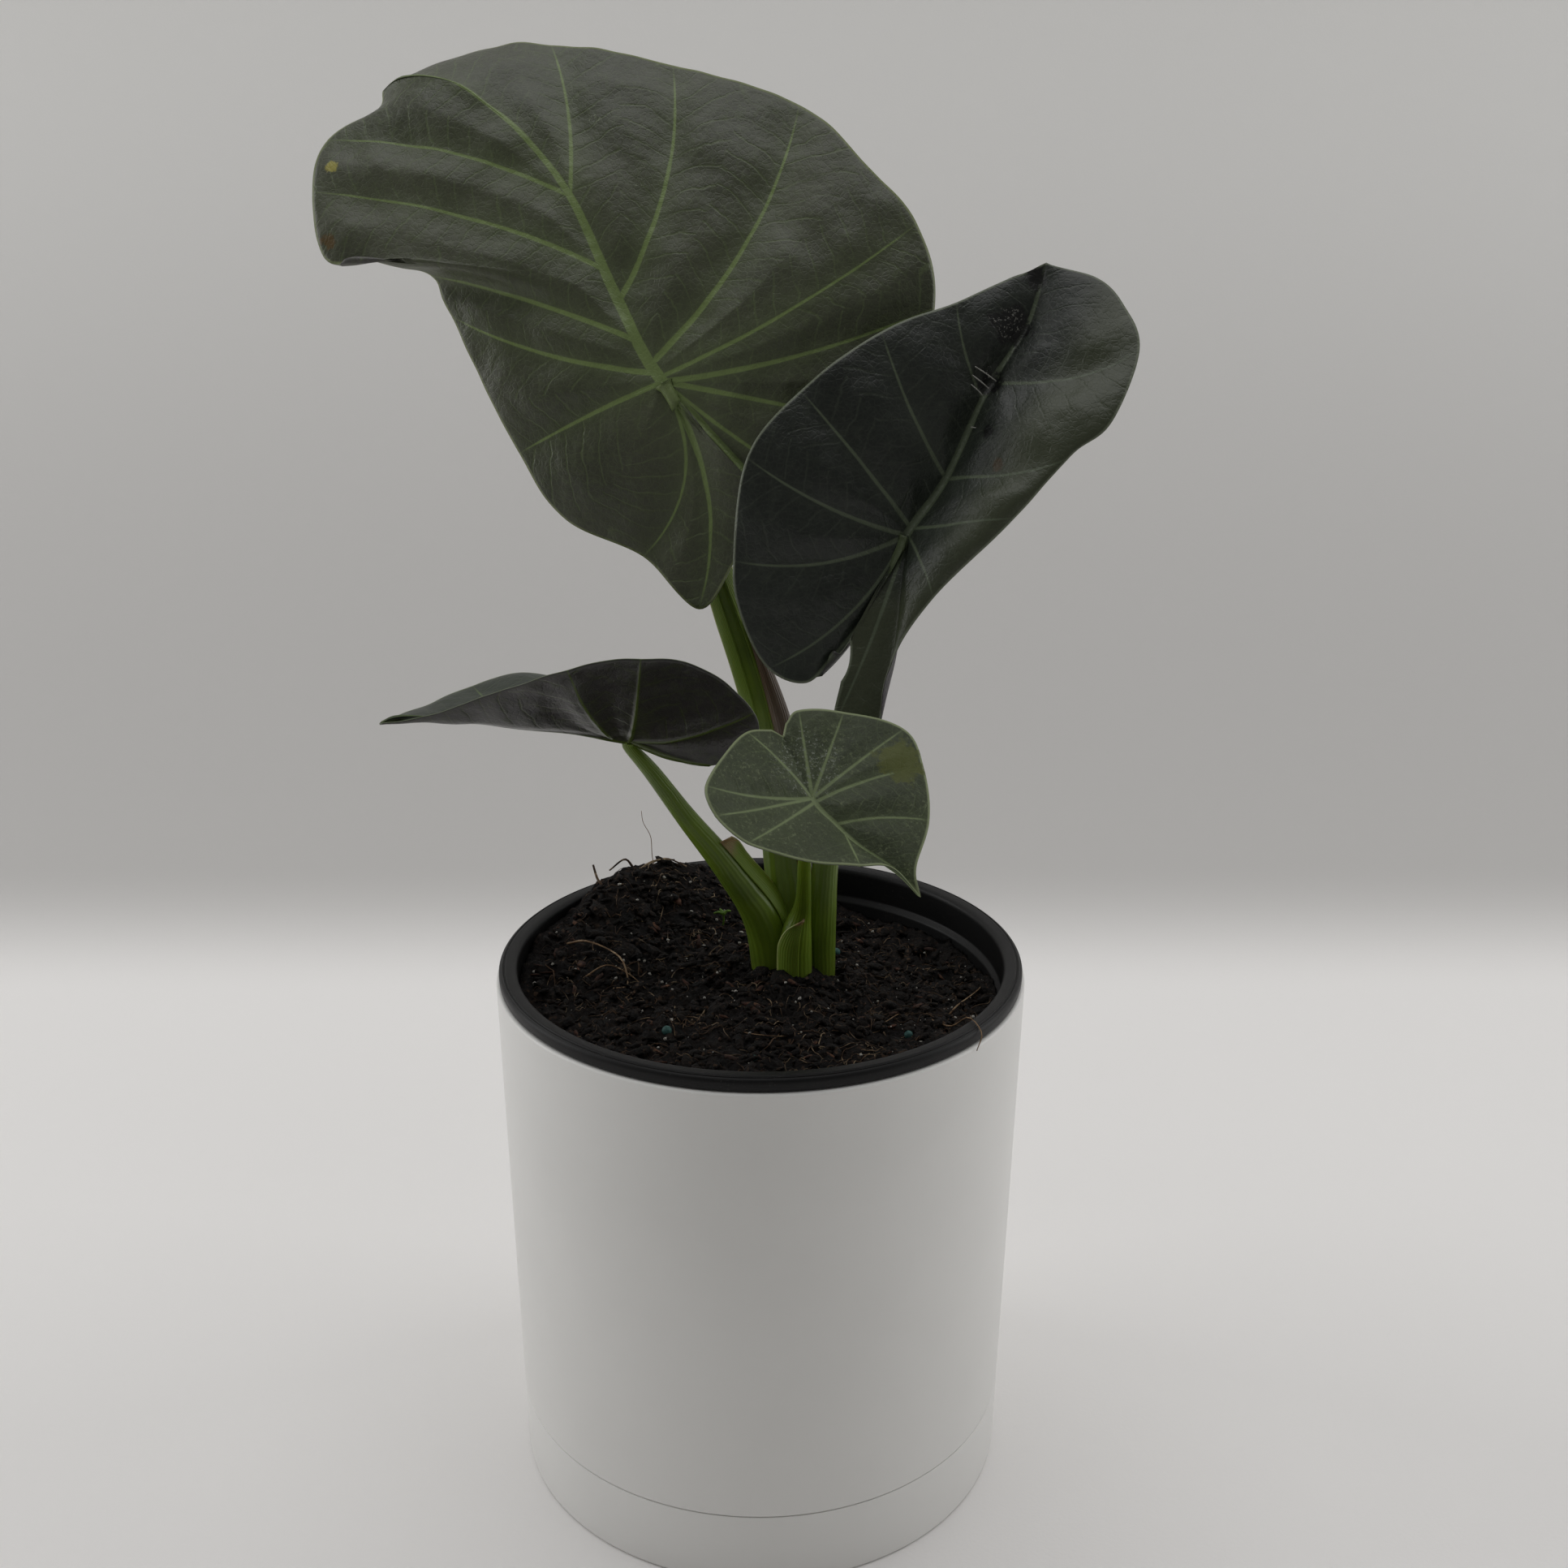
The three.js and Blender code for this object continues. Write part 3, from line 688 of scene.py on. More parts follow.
def turned(profile: Sequence[tuple[float, float]]) -> BMesh:
    """Spins a profile about Z.

    Args:
        profile: radius and height pairs, from the axis round to the axis again.

    Returns:
        The closed mesh.
    """
    bm = bmesh.new()
    verts = [bm.verts.new((radius * MM, 0.0, height * MM)) for radius, height in profile]
    edges = [bm.edges.new(pair) for pair in zip(verts, verts[1:])]
    bmesh.ops.spin(bm, geom=verts + edges, axis=(0, 0, 1), cent=(0, 0, 0), dvec=(0, 0, 0),
                   angle=2 * math.pi, steps=FACES_ROUND, use_merge=True, use_duplicate=False)
    bmesh.ops.remove_doubles(bm, verts=bm.verts[:], dist=1e-6)
    return bm


def rounded(profile: Sequence[Place], steps: int = 4) -> list[tuple[float, float]]:
    """Rounds the corners of a profile.

    Args:
        profile: radius, height and corner radius, in order.
        steps: how many edges each round corner gets.

    Returns:
        Radius and height pairs.
    """
    points: list[tuple[float, float]] = []
    for index, (x, z, bend) in enumerate(profile):
        if not bend or index in (0, len(profile) - 1):
            points.append((x, z))
            continue
        corner = Vector((x, z))
        back = (Vector(profile[index - 1][:2]) - corner).normalized() * bend
        ahead = (Vector(profile[index + 1][:2]) - corner).normalized() * bend
        for step in range(steps + 1):
            t = step / steps
            spot = corner + back * (1 - t) ** 2 + ahead * t**2
            points.append((spot.x, spot.y))
    return points


def drilled(piece: Object, ring: float, radius: float, count: int, low: float, high: float) -> None:
    """Cuts a ring of round drains through a piece's floor.

    Args:
        piece: what is cut.
        ring: radius of the circle that the drains stand on.
        radius: of a drain.
        count: how many.
        low: under the floor.
        high: over the floor.
    """
    bm = bmesh.new()
    for index in range(count):
        angle = 2 * math.pi * (index + 0.5) / count
        spot = Vector((ring * math.cos(angle), ring * math.sin(angle), (low + high) / 2)) * MM
        bmesh.ops.create_cone(bm, cap_ends=True, segments=24, radius1=radius * MM, radius2=radius * MM,
                              depth=(high - low) * MM, matrix=Matrix.Translation(spot))
    cutter = new_object("drain_cutter", new_mesh("drain_cutter", bm))
    cut = piece.modifiers.new("drains", "BOOLEAN")
    cut.object = cutter
    cut.solver = "EXACT"
    graph = bpy.context.evaluated_depsgraph_get()
    made = bpy.data.meshes.new_from_object(piece.evaluated_get(graph))
    piece.modifiers.clear()
    piece.data = made
    bpy.data.objects.remove(cutter)


# ---------------------------------------------------------------- pots
WHITE = PlasticFinish(
    "white_plastic", (0.80, 0.795, 0.775), (0.76, 0.755, 0.735), (0.60, 0.59, 0.57), gloss=0.42,
)
BLACK = PlasticFinish(
    "black_plastic", (0.0035, 0.0035, 0.0038), (0.007, 0.0065, 0.0068), (0.06, 0.055, 0.052),
    gloss=0.46, grain=0.04, scuffs=0.3, dust=0.5, specular=0.22,
)


@dataclass
class Saucer:
    """The drip saucer, whose side is flush with the cover pot."""

    finish: PlasticFinish
    wall: float = 2.4
    floor: float = 2.5
    foot_round: float = 1.6
    foot_step: float = 0.7

    def build(self) -> Object:
        """Turns the saucer.

        Returns:
            The saucer.
        """
        inner = FOOT_RADIUS - self.wall
        side = cover_radius(SAUCER_HEIGHT)
        profile = rounded([
            (0, self.foot_step, 0),
            (FOOT_RADIUS - 8, self.foot_step, 0.6),
            (FOOT_RADIUS - 7, 0, 0.5),
            (FOOT_RADIUS, 0, self.foot_round),
            (side, SAUCER_HEIGHT, 0.35),
            (inner, SAUCER_HEIGHT, 0.4),
            (inner, self.floor, 1.5),
            (0, self.floor, 0),
        ])
        return place_piece("saucer", turned(profile), self.finish.material(),
                           ["drip_saucer"])


def cover_radius(z: float) -> float:
    """Outside radius of the white pot and its saucer at a height."""
    return FOOT_RADIUS + (COVER_TOP_RADIUS - FOOT_RADIUS) * z / COVER_HEIGHT


@dataclass
class CoverPot:
    """The white pot that the grower's pot hangs in."""

    finish: PlasticFinish
    wall: float = 3.0
    floor: float = 3.0
    spigot_depth: float = 6.0
    spigot_wall: float = 2.0

    def build(self) -> Object:
        """Turns the pot and cuts its drains.

        Returns:
            The cover pot.
        """
        seam = SAUCER_HEIGHT + SEAM_GAP
        spigot = FOOT_RADIUS - 2.4 - SEAM_GAP
        top = seam + self.floor
        profile = rounded([
            (0, seam, 0),
            (spigot - self.spigot_wall, seam, 0.4),
            (spigot - self.spigot_wall, seam - self.spigot_depth, 0.4),
            (spigot, seam - self.spigot_depth, 0.4),
            (spigot, seam, 0.1),
            (cover_radius(seam), seam, 0.35),
            (COVER_TOP_RADIUS, COVER_HEIGHT, 0.9),
            (COVER_TOP_RADIUS - self.wall, COVER_HEIGHT, 0.9),
            (cover_radius(top) - self.wall, top, 2.0),
            (0, top, 0),
        ])
        piece = place_piece("white_cover_pot", turned(profile), self.finish.material(),
                            ["cover_pot"])
        drilled(piece, 38.0, 5.0, 4, seam - 1, top + 1)
        return piece


@dataclass
class GrowerPot:
    """The black pot with the rolled rim."""

    finish: PlasticFinish
    wall: float = 1.2
    base_radius: float = 58.0
    base: float = 36.0
    groove_place: float = 1.7
    groove_depth: float = 0.45

    def build(self) -> Object:
        """Turns the pot and cuts its drains.

        Returns:
            The grower's pot.
        """
        collar = RIM_INNER + self.wall
        groove = RIM_RADIUS - self.groove_place
        profile = rounded([
            (0, self.base, 0),
            (self.base_radius, self.base, 2.0),
            (collar - LEDGE, LEDGE_Z - LEDGE, 0.6),
            (collar, LEDGE_Z, 0.6),
            (collar, RIM_UNDERSIDE, 0.5),
            (RIM_RADIUS - 0.2, RIM_UNDERSIDE, 0.9),
            (RIM_RADIUS, RIM_TOP - 0.6, 1.4),
            (groove + 0.35, RIM_TOP - 0.1, 0.2),
            (groove, RIM_TOP - self.groove_depth, 0.2),
            (groove - 0.4, RIM_TOP, 0.25),
            (RIM_INNER, RIM_TOP - 0.2, 2.0),
            (RIM_INNER, LEDGE_Z + LEDGE, 0.5),
            (RIM_INNER - LEDGE, LEDGE_Z, 0.5),
            (self.base_radius - self.wall, self.base + self.wall, 1.5),
            (0, self.base + self.wall, 0),
        ], 5)
        piece = place_piece("black_grower_pot", turned(profile), self.finish.material(),
                            ["nursery_pot"])
        drilled(piece, 42.0, 4.5, 6, self.base - 1, self.base + self.wall + 1)
        return piece


# ---------------------------------------------------------------- stems
READ_STEP = 0.002  # share of a path that its direction is read over
END_TURN = 0.94  # share of a path from where it turns to its stated end direction


@dataclass(frozen=True)
class Path:
    """A tapering stem: points from its foot to its top, with a radius at each."""

    stations: tuple[Station, ...]
    end: Place

    def read(self, places: np.ndarray) -> tuple[np.ndarray, ...]:
        """Reads the path at shares of the way from foot to top.

        Args:
            places: the shares.

        Returns:
            Centre, radius and the two cross directions, one row for each share.
        """
        knots = np.asarray(self.stations, float)
        count = len(knots) - 1
        rows = catmull(knots, np.clip(places, 0, 1) * count)
        behind, ahead = (catmull(knots, np.clip(places + shift, 0, 1) * count)[:, :3]
                         for shift in (-READ_STEP, READ_STEP))
        direction = ahead - behind
        direction /= np.linalg.norm(direction, axis=1)[:, None]
        turn = np.clip((places - END_TURN) / (1 - END_TURN), 0, 1)[:, None]
        direction = direction * (1 - turn) + np.asarray(self.end) * turn
        direction /= np.linalg.norm(direction, axis=1)[:, None]
        side = np.array([1.0, 0.0, 0.0])
        first = side - direction * (direction @ side)[:, None]
        first /= np.linalg.norm(first, axis=1)[:, None]
        return rows[:, :3], rows[:, 3], first, np.cross(direction, first)


@dataclass(frozen=True)
class Sheath:
    """A wing that wraps part of the way round a stem.

    Shares run from the stem's foot to its top, angles in degrees from +X towards +Y.
    """

    low: float
    high: float
    root: float
    reach: float
    flare: float = 1.6
    tip: float = 0.25


def skin(path: Path, places: np.ndarray, angles: np.ndarray, wide: np.ndarray) -> np.ndarray:
    """Points that stand off a path.

    Args:
        path: the path.
        places: shares of the way up, one for each row.
        angles: round the path, columns by rows or by 1.
        wide: how far off, columns or 1 by rows.

    Returns:
        Columns by rows by 3, in metres.
    """
    centre, _, first, second = path.read(places)
    sides = np.cos(angles)[..., None] * first[None] + np.sin(angles)[..., None] * second[None]
    return (centre[None] + wide[..., None] * sides) * MM


def capped(path: Path, shares: np.ndarray) -> tuple[np.ndarray, np.ndarray]:
    """Closes a stem with a point at both ends.

    Args:
        path: the stem's path.
        shares: where its rings are, in 0 to 1.

    Returns:
        The shares with both ends doubled, and the radius at each, 0 at the doubles.
    """
    places = np.concatenate([[0.0], shares, [1.0]])
    radius = path.read(places)[1].copy()
    radius[0] = radius[-1] = 0.0
    return places, radius


def skin_mesh(points: np.ndarray) -> BMesh:
    """A grid with a "stem" UV layer.

    Args:
        points: columns by rows by 3, in metres.

    Returns:
        The mesh; its UVs run from 0 to 1 across the columns and along the rows.
    """
    bm = bmesh.new()
    add_grid(bm, points)
    layer = bm.loops.layers.uv.new("stem")
    bm.verts.index_update()
    across, along = points.shape[0] - 1, points.shape[1] - 1
    for face in bm.faces:
        for loop in face.loops:
            row, column = divmod(loop.vert.index, across + 1)
            loop[layer].uv = (column / across, row / along)
    bmesh.ops.remove_doubles(bm, verts=bm.verts[:], dist=1e-7)
    return bm


def stem_mesh(path: Path, rings: int, sides: int, groove: float = 0.0, groove_at: float = -90.0,
              groove_top: float = 0.5) -> BMesh:
    """A closed stem along a path.

    Args:
        path: where it goes.
        rings: how many rings of points.
        sides: points in a ring.
        groove: depth of a channel, as a share of the radius.
        groove_at: the channel's side, in degrees.
        groove_top: share of the way up where the channel has faded out.

    Returns:
        The mesh, with a "stem" UV layer of turns and share.
    """
    places, radius = capped(path, np.linspace(0, 1, rings))
    angles = np.linspace(0, 2 * math.pi, sides + 1)
    off = np.angle(np.exp(1j * (angles - math.radians(groove_at))))
    fade = np.clip(1 - places / groove_top, 0, 1)
    channel = 1 - groove * np.exp(-((off[:, None] / 0.42) ** 2)) * fade[None]
    return skin_mesh(skin(path, places, angles[:, None], radius[None] * channel))


def sheath_mesh(path: Path, sheath: Sheath, thickness: float = 0.45) -> BMesh:
    """A wing that leaves the stem's skin and stands off towards its margin.

    Args:
        path: the stem's path.
        sheath: where the wing is and how far it reaches.
        thickness: in millimetres.

    Returns:
        The closed mesh, with a "stem" UV layer.
    """
    across, along = 14, 60
    shares = np.linspace(0, 1, along + 1)
    places = sheath.low + (sheath.high - sheath.low) * shares
    body = np.minimum(1.0, np.sqrt(np.clip((1.0 - shares) / sheath.tip, 0, 1)))
    widths = np.linspace(0, 1, across + 1)[:, None]
    angles = math.radians(sheath.root) + widths * (math.radians(sheath.reach) * body)[None]
    flare = sheath.flare * (widths**1.6) * (0.35 + 0.65 * shares[None])
    bm = skin_mesh(skin(path, places, angles, path.read(places)[1][None] + 0.15 + flare))
    bmesh.ops.recalc_face_normals(bm, faces=bm.faces[:])
    bmesh.ops.solidify(bm, geom=bm.faces[:], thickness=thickness * MM)
    return bm


# ---------------------------------------------------------------- leaves
SINUS_SHARE = 0.1
FAN_SHARE = 0.44
JUNCTION = 1.0
MARGIN_BAND = 12.0  # how far in from the margin the blade flutters most
OTHER_HALF = 500.0  # far enough that a vein of one half is never the nearest in the other


def over_crown(place: Sequence[float]) -> tuple[float, ...]:
    """Moves a place from the crown's own frame to the pot's; a radius after it stays."""
    x, y, z, *radius = place
    return (CROWN[0] + x, CROWN[1] + y, SOIL_LEVEL + z, *radius)


@dataclass
class Leaf:
    """One peltate blade on its petiole.

    The blade lies in its own frame: the petiole joins it at the origin, y runs along the
    midrib to the tip, x to the right, z out of the upper side. A rib holds the place on the
    axis where it starts, its end, its sideways bow and its rise. veins names the ribs that
    show as veins, with the half width of each at the midrib.
    """

    name: str
    slot: Slot
    finish: LeafFinish
    stem: StemFinish
    junction: Place
    heading: float
    climb: float
    bank: float
    axis: tuple[Place, ...]
    left: tuple[tuple[float, ...], ...]
    right: tuple[tuple[float, ...], ...]
    neck: float
    petiole: tuple[Station, ...]
    top_radius: float
    veins_left: dict[int, float]
    veins_right: dict[int, float]
    midrib: float
    quilt: float = 0.9
    quilt_reach: float = 6.0
    wave: float = 1.2
    seed: float = 0.0
    rib_depth: float = 1.1
    sheaths: tuple[Sheath, ...] = ()
    sheath_finish: SheathFinish | None = None
    groove: float = 0.0
    pits: tuple[Station, ...] = ()
    threads: tuple[Station, ...] = ()
    columns: int = 64
    spacing: float = 1.5
    fold_reach: float = 26.0

    def matrix(self) -> Matrix:
        """The blade's place and turn, in millimetres.

        Returns:
            From the blade's own frame to the part's.
        """
        turned_to = Matrix.Translation(over_crown(self.junction))
        for angle, axis in ((self.heading, "Z"), (self.climb, "X"), (self.bank, "Y")):
            turned_to = turned_to @ Matrix.Rotation(math.radians(angle), 4, axis)
        return turned_to

    def ribs(self, side: int) -> np.ndarray:
        """The ribs of one half, the tip as the last of them."""
        last = len(self.axis) - 1
        rows = self.left if side < 0 else self.right
        return np.array([*rows, (last, *self.axis[last], 0.0, 0.0)], float)

    def fan(self, side: int) -> tuple[np.ndarray, int]:
        """Where the ribs start on the axis, and the last that starts at the junction."""
        starts = self.ribs(side)[:, 0]
        return starts, int(np.flatnonzero(starts == JUNCTION)[-1])

    def on_axis(self, shares: np.ndarray) -> np.ndarray:
        """Where rows start.

        Args:
            shares: the rows, in 0 to 1.

        Returns:
            The start of each, counted in points of the axis.
        """
        last = len(self.axis) - 1
        beyond = 1 + (last - 1) * np.clip((shares - FAN_SHARE) / (1 - FAN_SHARE), 0, 1) ** 2
        return self.by_zone(shares, 1.0, beyond)

    @staticmethod
    def by_zone(shares: np.ndarray, fan: np.ndarray | float, beyond: np.ndarray) -> np.ndarray:
        """The share of the sinus where a row is in it, else the fan's value or the one beyond."""
        outside = np.where(shares < FAN_SHARE, fan, beyond)
        return np.where(shares < SINUS_SHARE, shares / SINUS_SHARE, outside)

    def in_ribs(self, shares: np.ndarray, side: int) -> np.ndarray:
        """Counts rows in ribs.

        Args:
            shares: the rows, in 0 to 1.
            side: -1 for the left half, 1 for the right one.

        Returns:
            The place of each row, in ribs from 0.
        """
        starts, fan_end = self.fan(side)
        fan = 1 + (fan_end - 1) * (shares - SINUS_SHARE) / (FAN_SHARE - SINUS_SHARE)
        beyond = np.interp(self.on_axis(shares), starts[fan_end:], np.arange(fan_end, len(starts)))
        return self.by_zone(shares, fan, beyond)

    def share_of_rib(self, rib: int, side: int) -> float:
        """Finds the row that a rib lies on.

        Args:
            rib: the rib's number.
            side: -1 for the left half, 1 for the right one.

        Returns:
            The row's share, in 0 to 1.
        """
        starts, fan_end = self.fan(side)
        if rib <= fan_end:
            return SINUS_SHARE + (FAN_SHARE - SINUS_SHARE) * (rib - 1) / (fan_end - 1)
        last = len(self.axis) - 1
        return FAN_SHARE + (1 - FAN_SHARE) * math.sqrt((starts[rib] - 1) / (last - 1))

    def surface(self, shares: np.ndarray, outs: np.ndarray, side: int) -> np.ndarray:
        """Points of one half of the blade, in its own frame.

        Args:
            shares: rows, from the sinus round to the tip.
            outs: places along a row, from the midrib to the margin.
            side: -1 for the left half, 1 for the right one.

        Returns:
            Rows by places by 3.
        """
        ribs = self.ribs(side)
        starts = catmull(self.axis, ribs[:, 0])
        ends = ribs[:, 1:4]
        chord = ends - starts
        across = np.stack([-chord[:, 1], chord[:, 0], np.zeros(len(ribs))], axis=1)
        across /= np.maximum(np.linalg.norm(across, axis=1), 1e-9)[:, None]
        control = starts + chord / 2 + across * (2 * side * ribs[:, 4])[:, None]
        control[:, 2] += 2 * ribs[:, 5]
        places = self.in_ribs(shares, side)
        start = catmull(self.axis, self.on_axis(shares))[:, None]
        middle = catmull(control, places)[:, None]
        end = catmull(ends, places)[:, None]
        out = outs[None, :, None]
        return start * (1 - out) ** 2 + middle * (2 * out * (1 - out)) + end * out**2

    def margin_line(self, shares: np.ndarray, side: int) -> np.ndarray:
        """Points of one half's margin."""
        return self.surface(shares, np.array([1.0]), side)[:, 0]

    def shares(self) -> np.ndarray:
        """Rows of the blade: every rib of both halves, and enough between them.

        Returns:
            Their places along each half, in order.
        """
        marks = {0.0, SINUS_SHARE / 2, SINUS_SHARE, FAN_SHARE, 1.0}
        for side, rows in ((-1, self.left), (1, self.right)):
            marks.update(self.share_of_rib(rib, side) for rib in range(1, len(rows)))
        ordered = sorted(marks)
        ordered = [a for a, b in zip(ordered, ordered[1:]) if b - a > 1e-4] + [1.0]
        rows = [np.array([0.0])]
        for low, high in zip(ordered, ordered[1:]):
            tries = np.linspace(low, high, 9)
            spans = [
                np.linalg.norm(np.diff(self.margin_line(tries, side), axis=0), axis=1).sum()
                for side in (-1, 1)
            ]
            count = max(2, math.ceil(max(spans) / self.spacing))
            rows.append(np.linspace(low, high, count + 1)[1:])
        return np.concatenate(rows)

    def vein_lines(self) -> list[tuple[int, float, np.ndarray]]:
        """Each vein's side (0 for the midrib), half width and points.

        Returns:
            One entry for each vein.
        """
        last = len(self.axis) - 1
        middle = catmull(self.axis, np.linspace(1, last, 160))
        lines = [(0, self.midrib, middle)]
        outs = np.linspace(0, 1, 90)
        for side, veins in ((-1, self.veins_left), (1, self.veins_right)):
            for rib, width in veins.items():
                share = np.array([self.share_of_rib(rib, side)])
                lines.append((side, width, self.surface(share, outs, side)[0]))
        return lines

    def sheet(self) -> BMesh:
        """The blade's middle surface as one sheet, in metres in its own frame.

        Returns:
            The sheet.
        """
        shares = self.shares()
        outs = np.linspace(0, 1, self.columns + 1) ** 1.12
        left = self.surface(shares, outs, -1)
        right = self.surface(shares, outs, 1)
        points = np.concatenate([left, right[-2::-1]])
        bm = bmesh.new()
        half = bm.verts.layers.float.new("half")
        made = add_grid(bm, points * MM)
        tip = len(shares) - 1
        for index, vert in enumerate(made):
            column, row = index % points.shape[0], index // points.shape[0]
            vert[half] = 0.0 if row == 0 or column == tip else (-1.0 if column < tip else 1.0)
        bmesh.ops.remove_doubles(bm, verts=bm.verts[:], dist=2e-6)
        bmesh.ops.dissolve_degenerate(bm, edges=bm.edges[:], dist=1e-6)
        bm.normal_update()
        up = sum((face.normal * face.calc_area() for face in bm.faces), Vector())
        if up.z < 0:
            bmesh.ops.reverse_faces(bm, faces=bm.faces[:])
            bm.normal_update()
        return bm

    def measure(self, points: np.ndarray, half: np.ndarray) -> dict[str, np.ndarray]:
        """Distances from each point to every vein and to the margin.

        Args:
            points: rows in millimetres, in the blade's frame.
            half: -1, 0 or 1 for each point.

        Returns:
            off, along, width and share of each vein at each point, and margin.
        """
        rows = {"off": [], "along": [], "width": [], "reach": []}
        for side, width, line in self.vein_lines():
            off, along = polyline_fields(points, line)
            length = np.linalg.norm(np.diff(line, axis=0), axis=1).sum()
            reach = np.clip(along / length, 0, 1)
            off = np.where((side != 0) & (half * side < 0), off + OTHER_HALF, off)
            rows["off"].append(off)
            rows["along"].append(along)
            rows["reach"].append(reach)
            rows["width"].append(0.10 + width * (1 - reach) ** 0.85)
        edges = [self.margin_line(self.shares(), side) for side in (-1, 1)]
        edges += [self.surface(np.array([0.0]), np.linspace(0, 1, 40), side)[0] for side in (-1, 1)]
        margin = np.min([polyline_fields(points, edge)[0] for edge in edges], axis=0)
        return {**{key: np.array(value) for key, value in rows.items()}, "margin": margin}

    def relief(self, points: np.ndarray, fields: dict[str, np.ndarray]) -> np.ndarray:
        """How far the middle surface stands out of its smooth shape.

        Args:
            points: rows in millimetres, in the blade's frame.
            fields: what measure gave for them.

        Returns:
            The height of each point over the smooth shape, in millimetres.
        """
        clear = np.maximum(fields["off"] - fields["width"], 0).min(axis=0)
        bulge = self.quilt * (1 - np.exp(-((clear / self.quilt_reach) ** 2)))
        near = np.clip(fields["margin"] / MARGIN_BAND, 0, 1)
        waves = np.array([
            noise.noise(Vector(point) * 0.045 + Vector((self.seed, 0, 7))) * 1.0
            + noise.noise(Vector(point) * 0.11 + Vector((0, self.seed, 3))) * 0.45
            for point in points
        ])
        flutter = self.wave * waves * (0.45 + 0.55 * (1 - near))
        dimples = np.array([
            noise.noise(Vector(point) * 0.085 + Vector((5, self.seed, 1))) for point in points
        ])
        height = bulge * (0.35 + 0.65 * near) - self.quilt * 0.55
        height += flutter + 0.55 * self.quilt * dimples * near
        for x, y, radius, depth in self.pits:
            away = np.hypot(points[:, 0] - x, points[:, 1] - y) / radius
            height -= depth * np.exp(-(away**4))
        return height

    def build_blade(self) -> Object:
        """Builds the blade's solid, with its veins, quilting and thick ribs.

        Returns:
            The blade.
        """
        bm = self.sheet()
        half_layer = bm.verts.layers.float["half"]
        source = bm.verts.layers.int.new("source")
        top = bm.verts.layers.int.new("top")
        bm.verts.ensure_lookup_table()
        bm.verts.index_update()
        for vert in bm.verts:
            vert[source] = vert.index
        points = np.array([vert.co[:] for vert in bm.verts]) / MM
        normals = np.array([vert.normal[:] for vert in bm.verts])
        half = np.array([vert[half_layer] for vert in bm.verts])
        fields = self.measure(points, half)
        lifted = points + normals * self.relief(points, fields)[:, None]
        grown = bmesh.ops.extrude_face_region(bm, geom=bm.faces[:], use_keep_orig=True)["geom"]
        for vert in (item for item in grown if isinstance(item, BMVert)):
            vert[top] = 1
            vert.co = vert.co + Vector(normals[vert[source]]) * (0.5 * MM)
        loose = [vert for vert in bm.verts if not vert.link_faces]
        bmesh.ops.delete(bm, geom=loose, context="VERTS")
        bmesh.ops.recalc_face_normals(bm, faces=bm.faces[:])
        piece = place_piece(f"leaf_blade_{self.name}", bm, self.finish.material(),
                            [f"blade_{self.name}"], recalculate=False)
        self.dress(piece.data, lifted, normals, half, fields)
        return piece

    def build_threads(self) -> Object:
        """Builds the pale fibres that span the damaged places.

        Returns:
            The fibres.
        """
        strands = Strands(f"leaf_threads_{self.name}", THREAD, 31, slot=self.slot)
        matrix = self.matrix()
        for x0, y0, x1, y1 in self.threads:
            row = [Vector((x0 + (x1 - x0) * t, y0 + (y1 - y0) * t, 0.9 + 0.5 * math.sin(math.pi * t)))
                   for t in (0.0, 0.35, 0.7, 1.0)]
            strands.add([tuple(matrix @ point) for point in row], 0.2, 0.16)
        return strands.build()

    def dress(self, mesh: Mesh, lifted: np.ndarray, normals: np.ndarray,
              half: np.ndarray, fields: dict[str, np.ndarray]) -> None:
        """Moves the solid's points to their last places and stores what the finish reads.

        Args:
            mesh: the blade's mesh.
            lifted: the middle surface in millimetres.
            normals: its normals.
            half: -1, 0 or 1 for each of its points.
            fields: what measure gave.
        """
        source, top = (read(mesh.attributes[name].data, "value") for name in ("source", "top"))
        width, off = fields["width"], fields["off"]
        rib = (width * self.rib_depth * np.exp(-((off / (width * 1.5 + 0.15)) ** 2))).max(axis=0)
        thin = 0.55 + 0.45 * np.clip(fields["margin"] / 2.0, 0, 1)
        offset = np.where(top == 1, BLADE_HALF * thin[source] - 0.22 * rib[source],
                          -BLADE_HALF * thin[source] - rib[source])
        final = lifted[source] + normals[source] * offset[:, None]
        matrix = np.array(self.matrix())
        world = (final @ matrix[:3, :3].T + matrix[:3, 3]) * MM
        mesh.vertices.foreach_set("co", world.astype(np.float32).ravel())
        faces = len(mesh.polygons)
        face_of = np.repeat(np.arange(faces), read(mesh.polygons, "loop_total"))
        corners = source[read(mesh.loops, "vertex_index")]
        sums = np.array([
            np.bincount(face_of, weights=row[corners], minlength=faces) for row in off - width
        ])
        vein = sums.argmin(axis=0)[face_of]
        for layer, pair in (("venation", ("along", "off")), ("reach", ("reach", "width"))):
            store_uv(mesh, layer, np.stack([fields[name][vein, corners] for name in pair], axis=1))
        store(mesh, "margin", fields["margin"][source])
        # side: the signed share of the way out from the midrib; the finish paints light on the right half's
        # outer band with it.
        side = np.sign(half) * np.clip(off[0] / self.fold_reach, 0, 1)
        store(mesh, "side", side[source])
        store(mesh, "under", 1.0 - top)
        for name in ("source", "top", "half"):
            mesh.attributes.remove(mesh.attributes[name])
        mesh.update()

